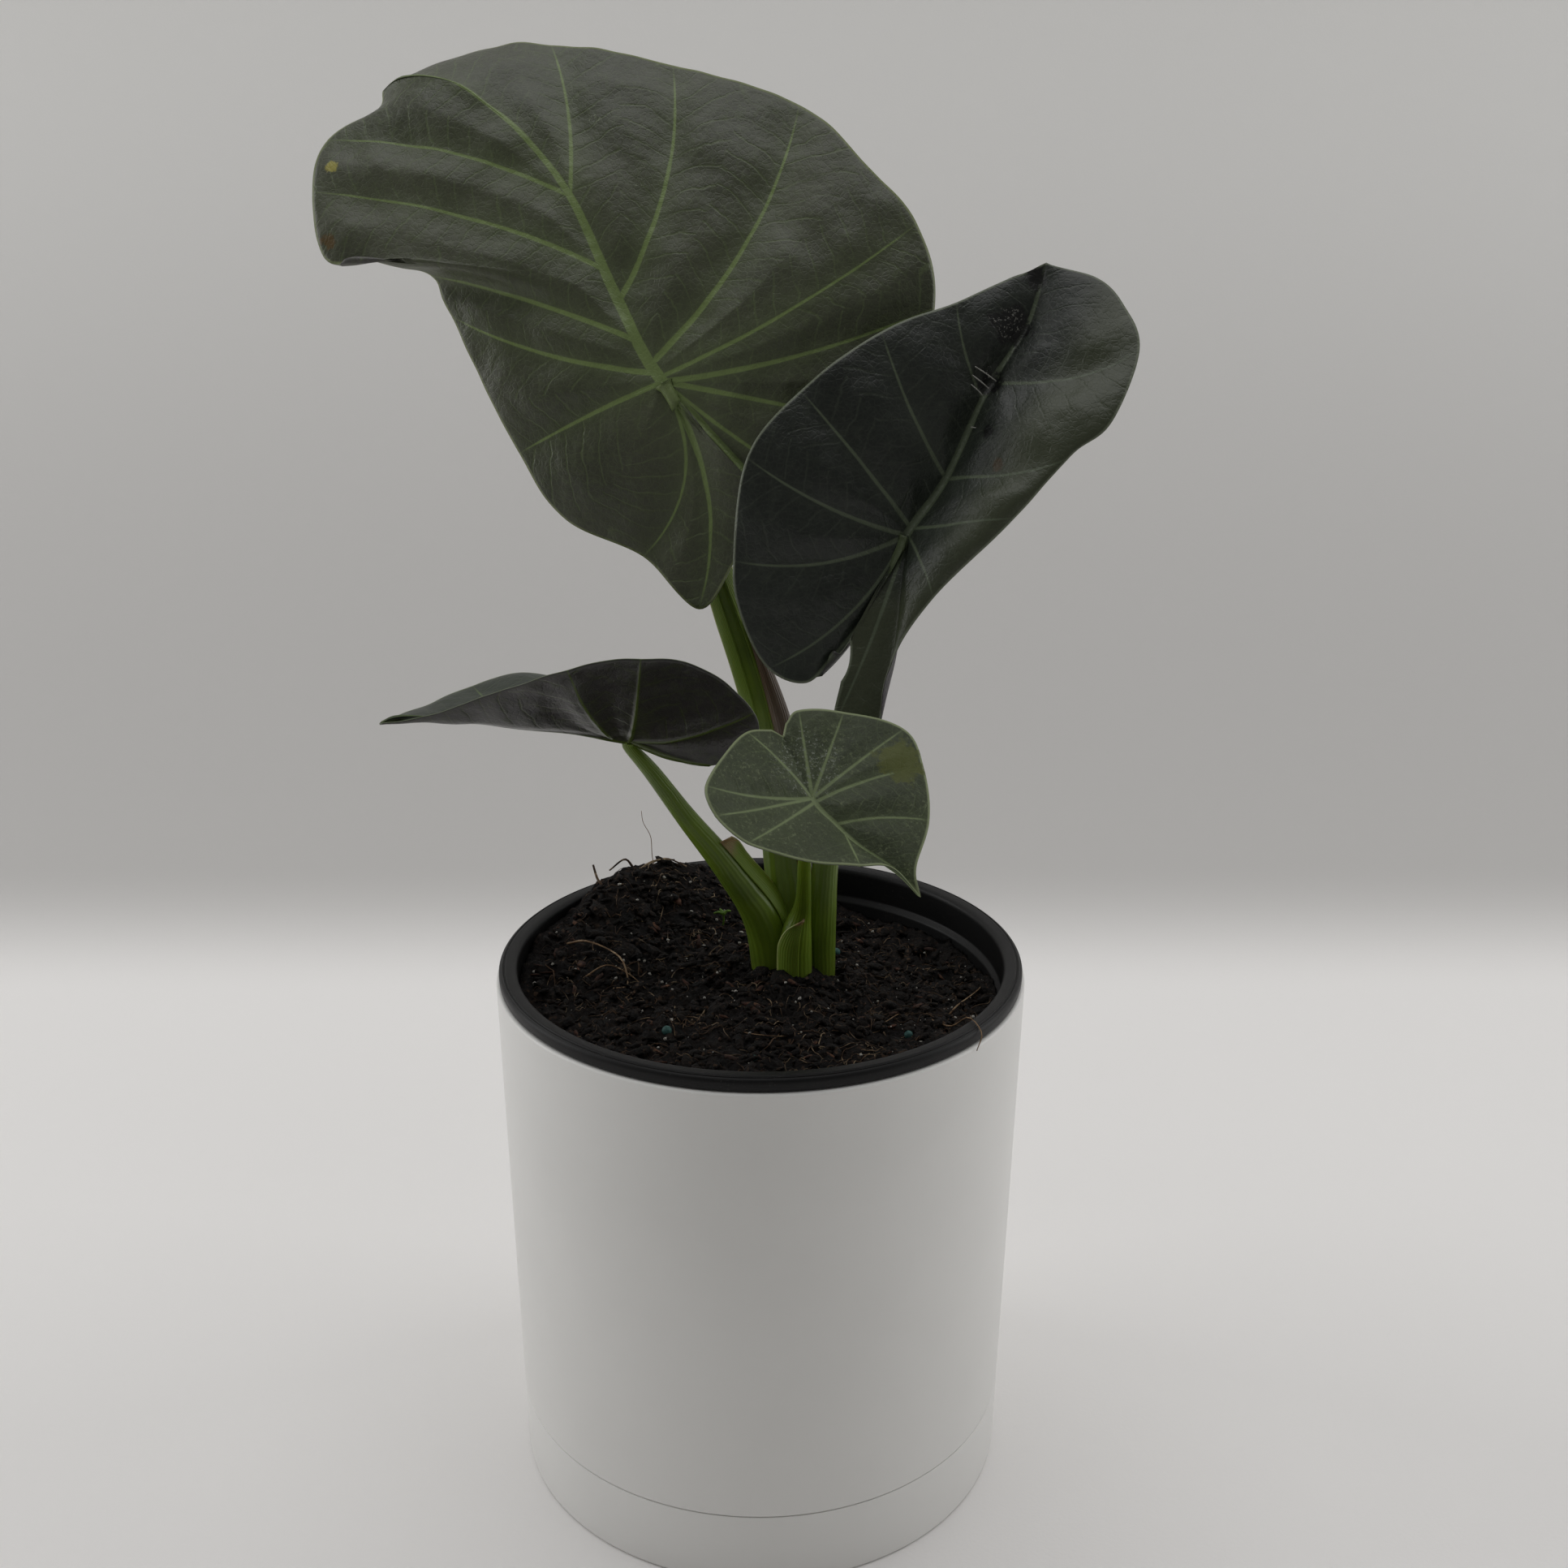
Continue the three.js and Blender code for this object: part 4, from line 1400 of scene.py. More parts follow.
    def path(self) -> Path:
        """The petiole's way from the rootstock to the blade's underside.

        Returns:
            The way, in millimetres.
        """
        turn = self.matrix()
        normal = (turn.to_3x3() @ Vector((0, 0, 1))).normalized()
        joint = turn.translation
        rows = [over_crown(station) for station in self.petiole]
        rows[0] = (*rows[0][:2], SOIL_LEVEL - 8.7, rows[0][3])
        rows.append((*(joint - normal * self.neck), self.top_radius * 0.95))
        rows.append((*(joint - normal * (0.8 + 0.55 * self.quilt)), self.top_radius))
        return Path(tuple(rows), tuple(normal))

    def build_petiole(self) -> Object:
        """Builds the petiole and its sheath wings.

        Returns:
            The petiole.
        """
        path = self.path()
        bm = stem_mesh(path, 90, 28, self.groove)
        piece = place_piece(f"stem_{self.name}", bm, self.stem.material(),
                            [f"petiole_{self.name}"])
        for index, sheath in enumerate(self.sheaths):
            wing = sheath_mesh(path, sheath)
            place_piece(f"sheath_{self.name}_{index + 1}", wing, self.sheath_finish.material())
        return piece


# ---------------------------------------------------------------- soil
def soil_height(x: float, y: float) -> float:
    """Height of the soil without its lumps.

    Args:
        x: Place across, in millimetres.
        y: Place in depth, in millimetres.

    Returns:
        The height in millimetres.
    """
    height = SOIL_LEVEL
    for cx, cy, spread, rise in SWELLS:
        height += rise * math.exp(-((x - cx) ** 2 + (y - cy) ** 2) / spread**2)
    return height


def soil_top(x: float, y: float) -> float:
    """Height of the soil with its lumps.

    Args:
        x: Place across, in millimetres.
        y: Place in depth, in millimetres.

    Returns:
        The height in millimetres.
    """
    spot = Vector((x, y, 0))
    lumps = noise.noise(spot * 0.07) * 2.2 + noise.noise(spot * 0.19 + Vector((3, 1, 4))) * 1.5
    crumbs = abs(noise.noise(spot * 0.42)) * 1.9 + noise.noise(spot * 0.9) * 1.1
    return soil_height(x, y) + lumps + crumbs - 0.6


@dataclass
class Soil:
    """The potting mix and what lies on it."""

    finish: EarthFinish
    bottom: float = 37.6
    rings: int = 110
    around: int = 340

    def wall(self, z: float) -> float:
        """Radius of the soil where it meets the pot.

        Args:
            z: Height in millimetres.

        Returns:
            The radius in millimetres.
        """
        if z > LEDGE_Z + LEDGE:
            return RIM_INNER - SOIL_GAP
        share = min(1.0, (z - SOIL_FOOT) / (LEDGE_Z - SOIL_FOOT))
        return SOIL_FOOT_RADIUS + (RIM_INNER - LEDGE - SOIL_FOOT_RADIUS) * share - SOIL_GAP

    def build(self) -> Object:
        """Builds the closed body of soil.

        Returns:
            The soil.
        """
        edge = RIM_INNER - SOIL_GAP
        points = np.zeros((self.around + 1, self.rings + 6, 3))
        for column in range(self.around + 1):
            angle = 2 * math.pi * (column % self.around) / self.around
            cosine, sine = math.cos(angle), math.sin(angle)
            for ring in range(self.rings + 1):
                radius = edge * (ring / self.rings) ** 0.9
                top = soil_top(radius * cosine, radius * sine)
                radius = min(radius, self.wall(top))
                points[column, ring] = (radius * cosine, radius * sine, top)
            last = points[column, self.rings, 2]
            drop = min(last - 0.6, LEDGE_Z + LEDGE)
            for row, z in enumerate((drop, min(drop - 0.6, LEDGE_Z), LEDGE_Z - 6, 100.0, self.bottom)):
                radius = 0.0 if row == 4 else self.wall(z)
                height = max(z, self.bottom)
                points[column, self.rings + 1 + row] = (radius * cosine, radius * sine, height)
        foot = self.rings + 4
        points[:, foot] = points[:, foot] * (FOOT_SHARE, FOOT_SHARE, 0) + (0, 0, self.bottom)
        bm = bmesh.new()
        add_grid(bm, points * MM)
        bmesh.ops.remove_doubles(bm, verts=bm.verts[:], dist=1e-6)
        return place_piece("soil", bm, self.finish.material(), ["potting_soil"])

    def spot(self, rng: random.Random, reach: float = 74.0) -> tuple[float, float]:
        """A place on the soil that is clear of the stems.

        Args:
            rng: where the chance comes from.
            reach: the farthest from the pot's axis.

        Returns:
            Its x and y.
        """
        while True:
            angle = rng.uniform(0, 2 * math.pi)
            radius = reach * math.sqrt(rng.random())
            x, y = radius * math.cos(angle), radius * math.sin(angle)
            if math.hypot(x - CROWN[0], y - CROWN[1]) > CROWN_CLEAR:
                return x, y


@dataclass
class Scatter:
    """Many small lumps on the soil, all one piece."""

    name: str
    finish: EarthFinish
    soil: Soil
    count: int
    small: float
    large: float
    stretch: Place
    sink: float
    seed: int
    reach: float = 73.0
    detail: int = 1

    def build(self) -> Object:
        """Scatters the lumps.

        Returns:
            The lumps, as one piece.
        """
        rng = random.Random(self.seed)
        bm = bmesh.new()
        for _ in range(self.count):
            size = self.small + (self.large - self.small) * rng.random() ** 2.2
            x, y = self.soil.spot(rng, self.reach - size)
            lie = Matrix.Translation(Vector((x, y, soil_top(x, y) + size * self.sink)) * MM)
            for axis, swing in (("Z", math.pi), ("X", 0.6), ("Y", 0.6)):
                lie = lie @ Matrix.Rotation(rng.uniform(-swing, swing), 4, axis)
            shape = [value * rng.uniform(0.75, 1.25) for value in self.stretch]
            scale = Matrix.Diagonal((*shape, 1.0))
            made = bmesh.ops.create_icosphere(bm, subdivisions=self.detail, radius=size * MM)["verts"]
            for vert in made:
                vert.co *= rng.uniform(0.62, 1.25)
            bmesh.ops.transform(bm, matrix=lie @ scale, verts=made)
        return place_piece(self.name, bm, self.finish.material())


@dataclass
class Strands:
    """Thin curved fibres or roots, all one piece."""

    name: str
    finish: EarthFinish
    seed: int
    runs: list[tuple[list[Place], float, float]] = field(default_factory=list)
    slot: Slot = Slot.SOIL

    def add(self, points: Sequence[Place], foot: float, tip: float) -> None:
        """Adds a strand through points, with its first and last radius."""
        self.runs.append((list(points), foot, tip))

    def scatter(self, soil: Soil, count: int, length: tuple[float, float], radius: tuple[float, float],
                lift: float = 1.2, reach: float = 70.0) -> None:
        """Lays strands of random course on the soil.

        Args:
            soil: what they lie on.
            count: how many.
            length: shortest and longest, in millimetres.
            radius: thinnest and thickest.
            lift: how far they may stand off the soil.
            reach: how far from the pot's axis they may start.
        """
        rng = random.Random(self.seed)
        for _ in range(count):
            x, y = soil.spot(rng, reach)
            heading = rng.uniform(0, 2 * math.pi)
            turn = rng.uniform(-0.5, 0.5)
            steps = 6
            step = rng.uniform(*length) / steps
            rise = rng.uniform(0.1, lift)
            points = []
            for index in range(steps + 1):
                if math.hypot(x, y) > STRAND_REACH:
                    break
                arch = rise * math.sin(math.pi * index / steps)
                points.append((x, y, soil_top(x, y) + arch + rng.uniform(-0.25, 0.35)))
                x += step * math.cos(heading)
                y += step * math.sin(heading)
                heading += turn + rng.uniform(-0.35, 0.35)
            if len(points) > 3:
                thick = rng.uniform(*radius)
                self.add(points, thick, thick * 0.5)

    def build(self) -> Object:
        """Builds every strand as a closed thin tube.

        Returns:
            The strands, as one piece.
        """
        bm = bmesh.new()
        for points, foot, tip in self.runs:
            steps = max(6, 3 * len(points))
            shares = np.linspace(0, 1, steps + 1)
            radii = foot + (tip - foot) * shares
            rows = np.column_stack([catmull(points, shares * (len(points) - 1)), radii])
            path = Path(tuple(map(tuple, rows)), tuple(rows[-1, :3] - rows[-2, :3]))
            places, radius = capped(path, shares)
            angles = np.linspace(0, 2 * math.pi, 5)[:, None]
            made = add_grid(bm, skin(path, places, angles, radius[None]))
            bmesh.ops.remove_doubles(bm, verts=made, dist=1e-7)
        return place_piece(self.name, bm, self.finish.material())


# ---------------------------------------------------------------- the plant's tables
# The foot colour is a darker green: painted shade on the petioles below the pot's rim.
GREEN_STEM = StemFinish(
    "petiole_green", (0.135, 0.21, 0.012), (0.08, 0.13, 0.008), (0.105, 0.15, 0.014),
)
SHEATH_GREEN = SheathFinish(
    "sheath_green", (0.13, 0.205, 0.014), (0.30, 0.36, 0.11), (0.26, 0.19, 0.09),
)

GREY_GREEN = LeafFinish(
    "leaf_grey_green", lamina=(0.062, 0.066, 0.042), shade=(0.042, 0.046, 0.028),
    vein=(0.17, 0.235, 0.075), halo=(0.095, 0.125, 0.052), margin=(0.17, 0.20, 0.085),
    under=(0.085, 0.078, 0.080), under_vein=(0.16, 0.21, 0.08), halo_reach=4.6, halo_share=0.66,
    relief=0.7,
    spots=((-129, 41, 390, 2.6, 0.0, 0.09, 0.055, 0.015), (-129, 54, 411, 1.9, 0.0, 0.30, 0.27, 0.05),
           (-50, 55, 425, 2.0, 1.0, 0.20, 0.23, 0.15), (-36, 42, 407, 1.8, 1.0, 0.20, 0.23, 0.15),
           (-17, 49, 420, 1.8, 1.0, 0.20, 0.23, 0.15), (-46, 25, 335, 1.2, 0.5, 0.26, 0.28, 0.10)),
)
TORN = (0.0015, 0.0015, 0.0015)
BLACK_GREEN = LeafFinish(
    "leaf_black_green", lamina=(0.017, 0.021, 0.0165), shade=(0.0035, 0.0055, 0.004),
    vein=(0.080, 0.100, 0.060), halo=(0.040, 0.050, 0.034), margin=(0.13, 0.15, 0.10),
    under=(0.035, 0.030, 0.036), under_vein=(0.07, 0.09, 0.045), halo_reach=2.8, halo_share=0.4,
    # The lighter band colour below is painted light on the right half's outer band.
    fine_veins=0.4, gloss=0.40, relief=0.7, painted_light_band=(0.042, 0.050, 0.024),
    spots=((72, 9, 369, 6.2, 0.0, *TORN), (66, 5, 353, 3.8, 0.0, *TORN),
           (79, 14, 382, 3.2, 0.0, *TORN), (65, -5, 341, 2.4, 0.0, *TORN),
           (71, 9, 370, 4.6, 1.0, 0.20, 0.20, 0.18), (66, 5, 356, 2.2, 1.0, 0.24, 0.24, 0.22),
           (67, -14, 333, 2.0, 0.3, 0.05, 0.03, 0.012), (60, 8, 378, 3.0, 1.0, 0.14, 0.14, 0.12)),
)
PURPLE_GREY = LeafFinish(
    "leaf_purple_under", lamina=(0.019, 0.027, 0.017), shade=(0.012, 0.016, 0.011), vein=(0.09, 0.13, 0.04),
    halo=(0.045, 0.060, 0.030), margin=(0.12, 0.15, 0.07), under=(0.030, 0.026, 0.027),
    under_vein=(0.050, 0.072, 0.012), halo_reach=3.0, halo_share=0.35, under_gloss=0.34, relief=0.45,
)
PALE_GREEN = LeafFinish(
    "leaf_pale_green", lamina=(0.046, 0.058, 0.026), shade=(0.019, 0.026, 0.012), vein=(0.17, 0.215, 0.10),
    halo=(0.085, 0.11, 0.050), margin=(0.24, 0.28, 0.15), under=(0.08, 0.10, 0.06),
    under_vein=(0.18, 0.23, 0.10), halo_reach=1.8, halo_share=0.5, bloom=0.3,
    fine_veins=0.35, fine_spacing=4.4, gloss=0.56, relief=0.5, specular=0.3,
    spots=((39, -51, 258, 6.5, 0.0, 0.072, 0.084, 0.014), (12, -54, 258, 10.0, 1.0, 0.17, 0.19, 0.15),
           (-6, -58, 256, 6.0, 1.0, 0.12, 0.14, 0.10)),
)

LARGE = Leaf(
    "large", Slot.GREY_GREEN, GREY_GREEN, GREEN_STEM,
    junction=(-40, 12, 185), heading=50, climb=55, bank=-51,
    axis=((12, -44, -3), (0, 0, 0), (-1, 28, 0), (0, 63, 0),
          (-5, 88, -1), (-16, 112, -3), (-29, 124, -8), (-38, 126, -14)),
    left=(
        (0, -5, -56, -8, 0, 0), (1, -21, -63, -12, -8, 0), (1, -29, -41, -13, -10, 1),
        (1, -45, -20, -14, -3, 2), (1, -49, 4, -11, 0, 3), (1.1, -49, 50, -7, -4, 3),
        (1.5, -49, 63, -5, 1, 3), (1.9, -63, 73, 3, 3, 2), (2.1, -74, 80, 3, 4, 2),
        (2.3, -69, 101, 0, 4, 2), (3, -59, 116, -5, 4, 2), (5, -42, 119, -10, 1, 1),
    ),
    right=(
        (0, 17, -60, -7, 0, 0), (1, 22, -72, -9, 0, 0), (1, 36, -62, -8, -2, 1),
        (1, 56, -44, -5, 0, 2), (1, 81, -17, -2, -4, 3), (1.05, 87, 7, 0, -4, 4),
        (1.1, 82, 29, -2, -6, 4), (1.2, 73, 58, -8, -8, 4), (2, 45, 89, -12, -7, 4),
        (3, 15, 115, -16, -3, 2), (4.5, -3, 123, -16, 0, 1), (6, -24, 126, -15, 0, 0),
    ),
    neck=9,
    petiole=((0, 5, 0, 6.5), (-2, 6, 20, 7), (-5, 8, 48, 6.4), (-11, 10, 86, 5.4),
             (-24, 14, 126, 4.4), (-36, 17, 160, 3.6)),
    top_radius=3.4,
    veins_left={1: 0.9, 2: 0.45, 4: 0.7, 5: 0.75, 6: 0.7, 9: 0.6, 10: 0.5},
    veins_right={1: 0.9, 2: 0.5, 3: 0.7, 4: 0.75, 5: 0.5, 7: 0.8, 8: 0.75, 9: 0.5},
    midrib=1.6, quilt=1.6, quilt_reach=7.0, wave=1.2, seed=2.0,
    sheaths=(Sheath(0.30, 0.62, -70.0, 60.0, 1.2), Sheath(0.28, 0.60, -110.0, -55.0, 1.0)),
    sheath_finish=SHEATH_GREEN, groove=0.16,
)

RIGHT = Leaf(
    "right", Slot.DARK, BLACK_GREEN, GREEN_STEM,
    junction=(31, -15, 145), heading=-60, climb=56, bank=63,
    axis=((0, -34, 0), (0, 0, 0), (2, 20, 0), (0, 48, 0), (1, 70, 0), (-3, 88, 0)),
    left=(
        (0, -1, -40, -3, 0, 0), (1, -4, -51, -4, -3, 0), (1, -16, -53, -4, -5, 1),
        (1, -30, -44, -4, -3, 2), (1, -40, -31, -3, -4.5, 2), (1, -51, -4, 1, -3, 3),
        (1.1, -47, 20, 2, 0, 3), (2, -35, 46, 2, -2, 3), (2.9, -20, 65, 0, -2, 2),
        (4.2, -12, 76, -1, 0, 1),
    ),
    right=(
        (0, 4, -46, 1, 1, 0), (1, 8, -57, 1, 1, 1), (1, 19, -54, 3, 1, 2),
        (1, 12, -36, 8, 1, 3), (1, 13, -14, 15, 0, 4), (1.1, 21, 16, 22, 0, 6),
        (2, 26, 38, 25, -2, 6), (2.6, 31, 52, 26, -2, 6), (3.1, 29, 75, 20, -4, 5),
        (4, 20, 86, 12, -2, 3), (4.6, 11, 90, 6, 0, 1),
    ),
    neck=8,
    petiole=((8.2, 0, 0, 4.7), (8.4, 0.4, 18, 4.6), (10, 1, 42, 4), (16, 0, 76, 3.6),
             (22, -1, 100, 3.2), (28, -4, 128, 2.8)),
    top_radius=2.6,
    veins_left={1: 0.35, 2: 0.5, 4: 0.5, 5: 0.5, 6: 0.5, 7: 0.45, 8: 0.3},
    veins_right={1: 0.5, 4: 0.35, 5: 0.45, 6: 0.45, 8: 0.4},
    midrib=1.0, quilt=1.3, quilt_reach=6.0, wave=1.0, seed=9.0,
    pits=((-3, 66, 5.5, 0.9), (-2, 50, 4.2, 0.9), (-4.5, 82, 3.6, 0.8), (4.5, 37, 2.6, 0.6)),
    threads=((-6.5, 51.5, 1, 51), (-6, 49, 0.5, 48), (-5, 46.5, -0.5, 45.5), (1, 36, 5.5, 37.5)),
)

LEFT = Leaf(
    "left", Slot.PURPLE, PURPLE_GREY, GREEN_STEM,
    junction=(-51, -4, 80), heading=90, climb=0, bank=0,
    axis=((-1, -6, 0), (0, 0, 0), (-2, 18, 4), (-5, 42, 7), (-8, 66, 10), (-9, 74, 8)),
    left=(
        (0, -6, -16, -1, 0, 0), (1, -10, -26, -5, 0, -1), (1, -16, -38, 3, 0, -2),
        (1, -20, -38, 15, 0, -3), (1, -28, -24, 30, 0, -4), (1, -31, -6, 34, 0, -4),
        (1.3, -28, 15, 30, 0, -4), (2.2, -18, 40, 19, 0, -3), (3.2, -11, 59, 11, 0, -1),
    ),
    right=(
        (0, 6, -13, -1, 0, 0), (1, 12, -20, 1, 0, 0), (1, 20, -22, 5, 0, 0),
        (1, 29, -11, 8, 0, 1), (1, 33, 8, 10, 0, 1), (1.5, 31, 24, 11, 0, 1),
        (2.2, 27, 36, 13, 0, 1), (2.8, 18, 50, 12, 0, 0), (3.6, 6, 61, 10, 0, 0),
    ),
    neck=3,
    petiole=((-6, 0, 0, 7), (-10, -2, 18, 6.4), (-20.5, -4, 36, 4.6), (-34, -4, 54, 3.3),
             (-44.5, -4, 69, 2.6)),
    top_radius=2.1,
    veins_left={1: 0.5, 3: 0.5, 5: 0.45, 6: 0.4},
    veins_right={1: 0.5, 3: 0.45, 4: 0.45, 5: 0.4, 7: 0.3},
    midrib=0.9, quilt=1.1, quilt_reach=5.0, wave=1.1, seed=15.0, rib_depth=1.3, spacing=1.3,
    sheaths=(Sheath(0.02, 0.41, -28.0, 62.0, 3.6, 0.16),),
    sheath_finish=SHEATH_GREEN,
)

FRONT = Leaf(
    "front", Slot.PALE, PALE_GREEN, GREEN_STEM,
    junction=(3, -66, 83), heading=-123, climb=-32, bank=29,
    axis=((-8, -19, 0), (0, 0, 0), (1, 10, 0), (1, 19, 0), (-1, 31, 0), (-1, 40, -2)),
    left=(
        (0, -11, -21, 1, 0, 0), (1, -16, -21, 3, 0, 0), (1, -25, -12, 3, 0, 0),
        (1, -34, 3, 3, 0, 1), (1.1, -29, 15, 3, -1, 1), (2, -18, 27, 2, -1, 1),
        (3.6, -5, 34, 1, 0, 0),
    ),
    right=(
        (0, -6, -22, 2, 0, 0), (1, 1, -25, 5, -1, 0), (1, 12, -23, 9, 0, 0),
        (1, 25, -18, 13, 1, -1), (1, 29, -10, 13, 0, -1), (1.1, 28, 1, 12, 0, -1),
        (1.7, 18, 15, 8, 0, -1), (2.4, 8, 24, 5, 0, 0), (4, 0, 30, 2, 0, 0),
    ),
    neck=5,
    petiole=((0, -6, 0, 5.4), (0, -7, 14, 5), (2, -11, 28, 2.6), (2, -27, 48, 2), (2, -48, 67, 1.8)),
    top_radius=1.8,
    veins_left={1: 0.4, 2: 0.35, 3: 0.35, 4: 0.35, 5: 0.25},
    veins_right={1: 0.4, 3: 0.35, 4: 0.35, 5: 0.3, 7: 0.2},
    midrib=0.55, quilt=0.6, quilt_reach=3.5, wave=0.5, seed=21.0, rib_depth=1.0, spacing=0.9, columns=52,
    sheaths=(Sheath(0.02, 0.30, -80.0, -75.0, 1.2, 0.5),),
    sheath_finish=SHEATH_GREEN,
)
LEAVES = (LARGE, RIGHT, LEFT, FRONT)


@dataclass
class Spear:
    """The rolled new leaf."""

    finish: StemFinish = StemFinish(
        "spear_purple", (0.10, 0.062, 0.030), (0.060, 0.038, 0.022), (0.17, 0.20, 0.03), 200.0, 0.34
    )
    stations: tuple[Station, ...] = (
        (3, 4, 30, 2.6), (0.3, 4, 52, 3.2), (-3.0, 4, 76, 3.2), (-8.6, 5, 96, 2.3),
        (-15.5, 7.5, 114, 0.7),
    )

    def build(self) -> Object:
        """Builds the spear with the seam of its roll."""
        path = Path(tuple(map(over_crown, self.stations)), (-0.33, 0.13, 0.93))
        bm = stem_mesh(path, 60, 24, 0.2, -60.0, 1.4)
        return place_piece("rolled_new_leaf", bm, self.finish.material(), ["new_leaf_spear"])


# ---------------------------------------------------------------- soil's small things
PEAT = EarthFinish(
    "peat", (0.0012, 0.0008, 0.0007), (0.007, 0.0042, 0.003),
    (0.055, 0.032, 0.019), light_share=0.12,
)
CRUMBS = EarthFinish(
    "peat_crumbs", (0.0014, 0.001, 0.0008), (0.010, 0.006, 0.004),
    (0.07, 0.042, 0.025), 340.0, 0.14,
)
BARK = EarthFinish(
    "bark", (0.015, 0.007, 0.005), (0.065, 0.026, 0.015),
    (0.17, 0.085, 0.045), 300.0, 0.3, 0.75, 0.5,
)
GRIT = EarthFinish(
    "grit", (0.25, 0.24, 0.21), (0.48, 0.46, 0.42),
    (0.62, 0.60, 0.56), 900.0, 0.3, 0.6, 0.3,
)
PRILL = EarthFinish(
    "prill", (0.02, 0.06, 0.055), (0.04, 0.11, 0.10),
    (0.07, 0.16, 0.14), 900.0, 0.2, 0.5, 0.1,
)
FIBRE = EarthFinish(
    "fibre", (0.018, 0.010, 0.006), (0.09, 0.052, 0.028),
    (0.32, 0.24, 0.15), 120.0, 0.5, 0.7, 0.2,
)
THREAD = EarthFinish(
    "dry_thread", (0.22, 0.22, 0.20), (0.36, 0.36, 0.33),
    (0.48, 0.47, 0.44), 500.0, 0.3, 0.6, 0.1,
)
PALE_ROOT = EarthFinish(
    "pale_root", (0.12, 0.07, 0.035), (0.28, 0.18, 0.10),
    (0.42, 0.31, 0.19), 260.0, 0.4, 0.6, 0.2,
)


SEEDLING = EarthFinish(
    "seedling_green", (0.05, 0.10, 0.012), (0.10, 0.19, 0.02), (0.16, 0.27, 0.04), 900.0, 0.3, 0.5, 0.1,
)
CORM = EarthFinish(
    "corm", (0.05, 0.025, 0.012), (0.14, 0.08, 0.04), (0.30, 0.20, 0.10), 180.0, 0.3, 0.7, 0.8,
)

# Each strand: its first and last radius, then points with a lift over the soil, or with their
# own height where that is over MOST_LIFT.
MOST_LIFT = 20.0
ROOTS = (
    (0.42, 0.2, (-63, 15, 0.5), (-57, 11, 3.0), (-50, 7, 3.6), (-44, 0, 2.6), (-42, -8, 0.6),
     (-46, -13, 0.2)),
    (0.3, 0.14, (-56, -6, 0.2), (-49, -2, 2.0), (-42, -3, 1.4), (-36, -9, 0.2)),
    (0.34, 0.2, (58, -22, 0.4), (61, -18, 1.6), (67, -8, 1.8), (71, 1, 0.6)),
    (0.3, 0.14, (52, -28, 0.3), (57, -36, 2.4), (61.0, -46.0, 176.2), (64.0, -53.5, 175.0),
     (62.5, -56.0, 170.5)),
    (0.15, 0.09, (-37, 60, -0.5), (-38.0, 64.0, 184.0), (-38.5, 66.0, 190.0), (-41.0, 66.5, 195.0),
     (-41.5, 66.0, 199.5)),
    (0.2, 0.1, (-8, -40, 0.2), (-2, -45, 1.8), (6, -46, 1.2), (12, -42, 0.2)),
    (0.22, 0.1, (36, -34, 0.2), (41, -28, 1.6), (43, -20, 0.2)),
)
TWIGS = (
    (0.5, 0.35, (-54, 48, -0.5), (-56, 50, 2.5), (-57.5, 52.5, 184.8)),
    (0.5, 0.3, (-44, 58, -0.5), (-47, 57, 3.0), (-52, 53, 3.4)),
    (0.4, 0.25, (-42, 57, -0.3), (-37, 60, 2.6), (-30, 62, 2.0)),
    (0.4, 0.3, (-40, 58, 0.3), (-33, 62, 1.6), (-26, 63, 0.6)),
)


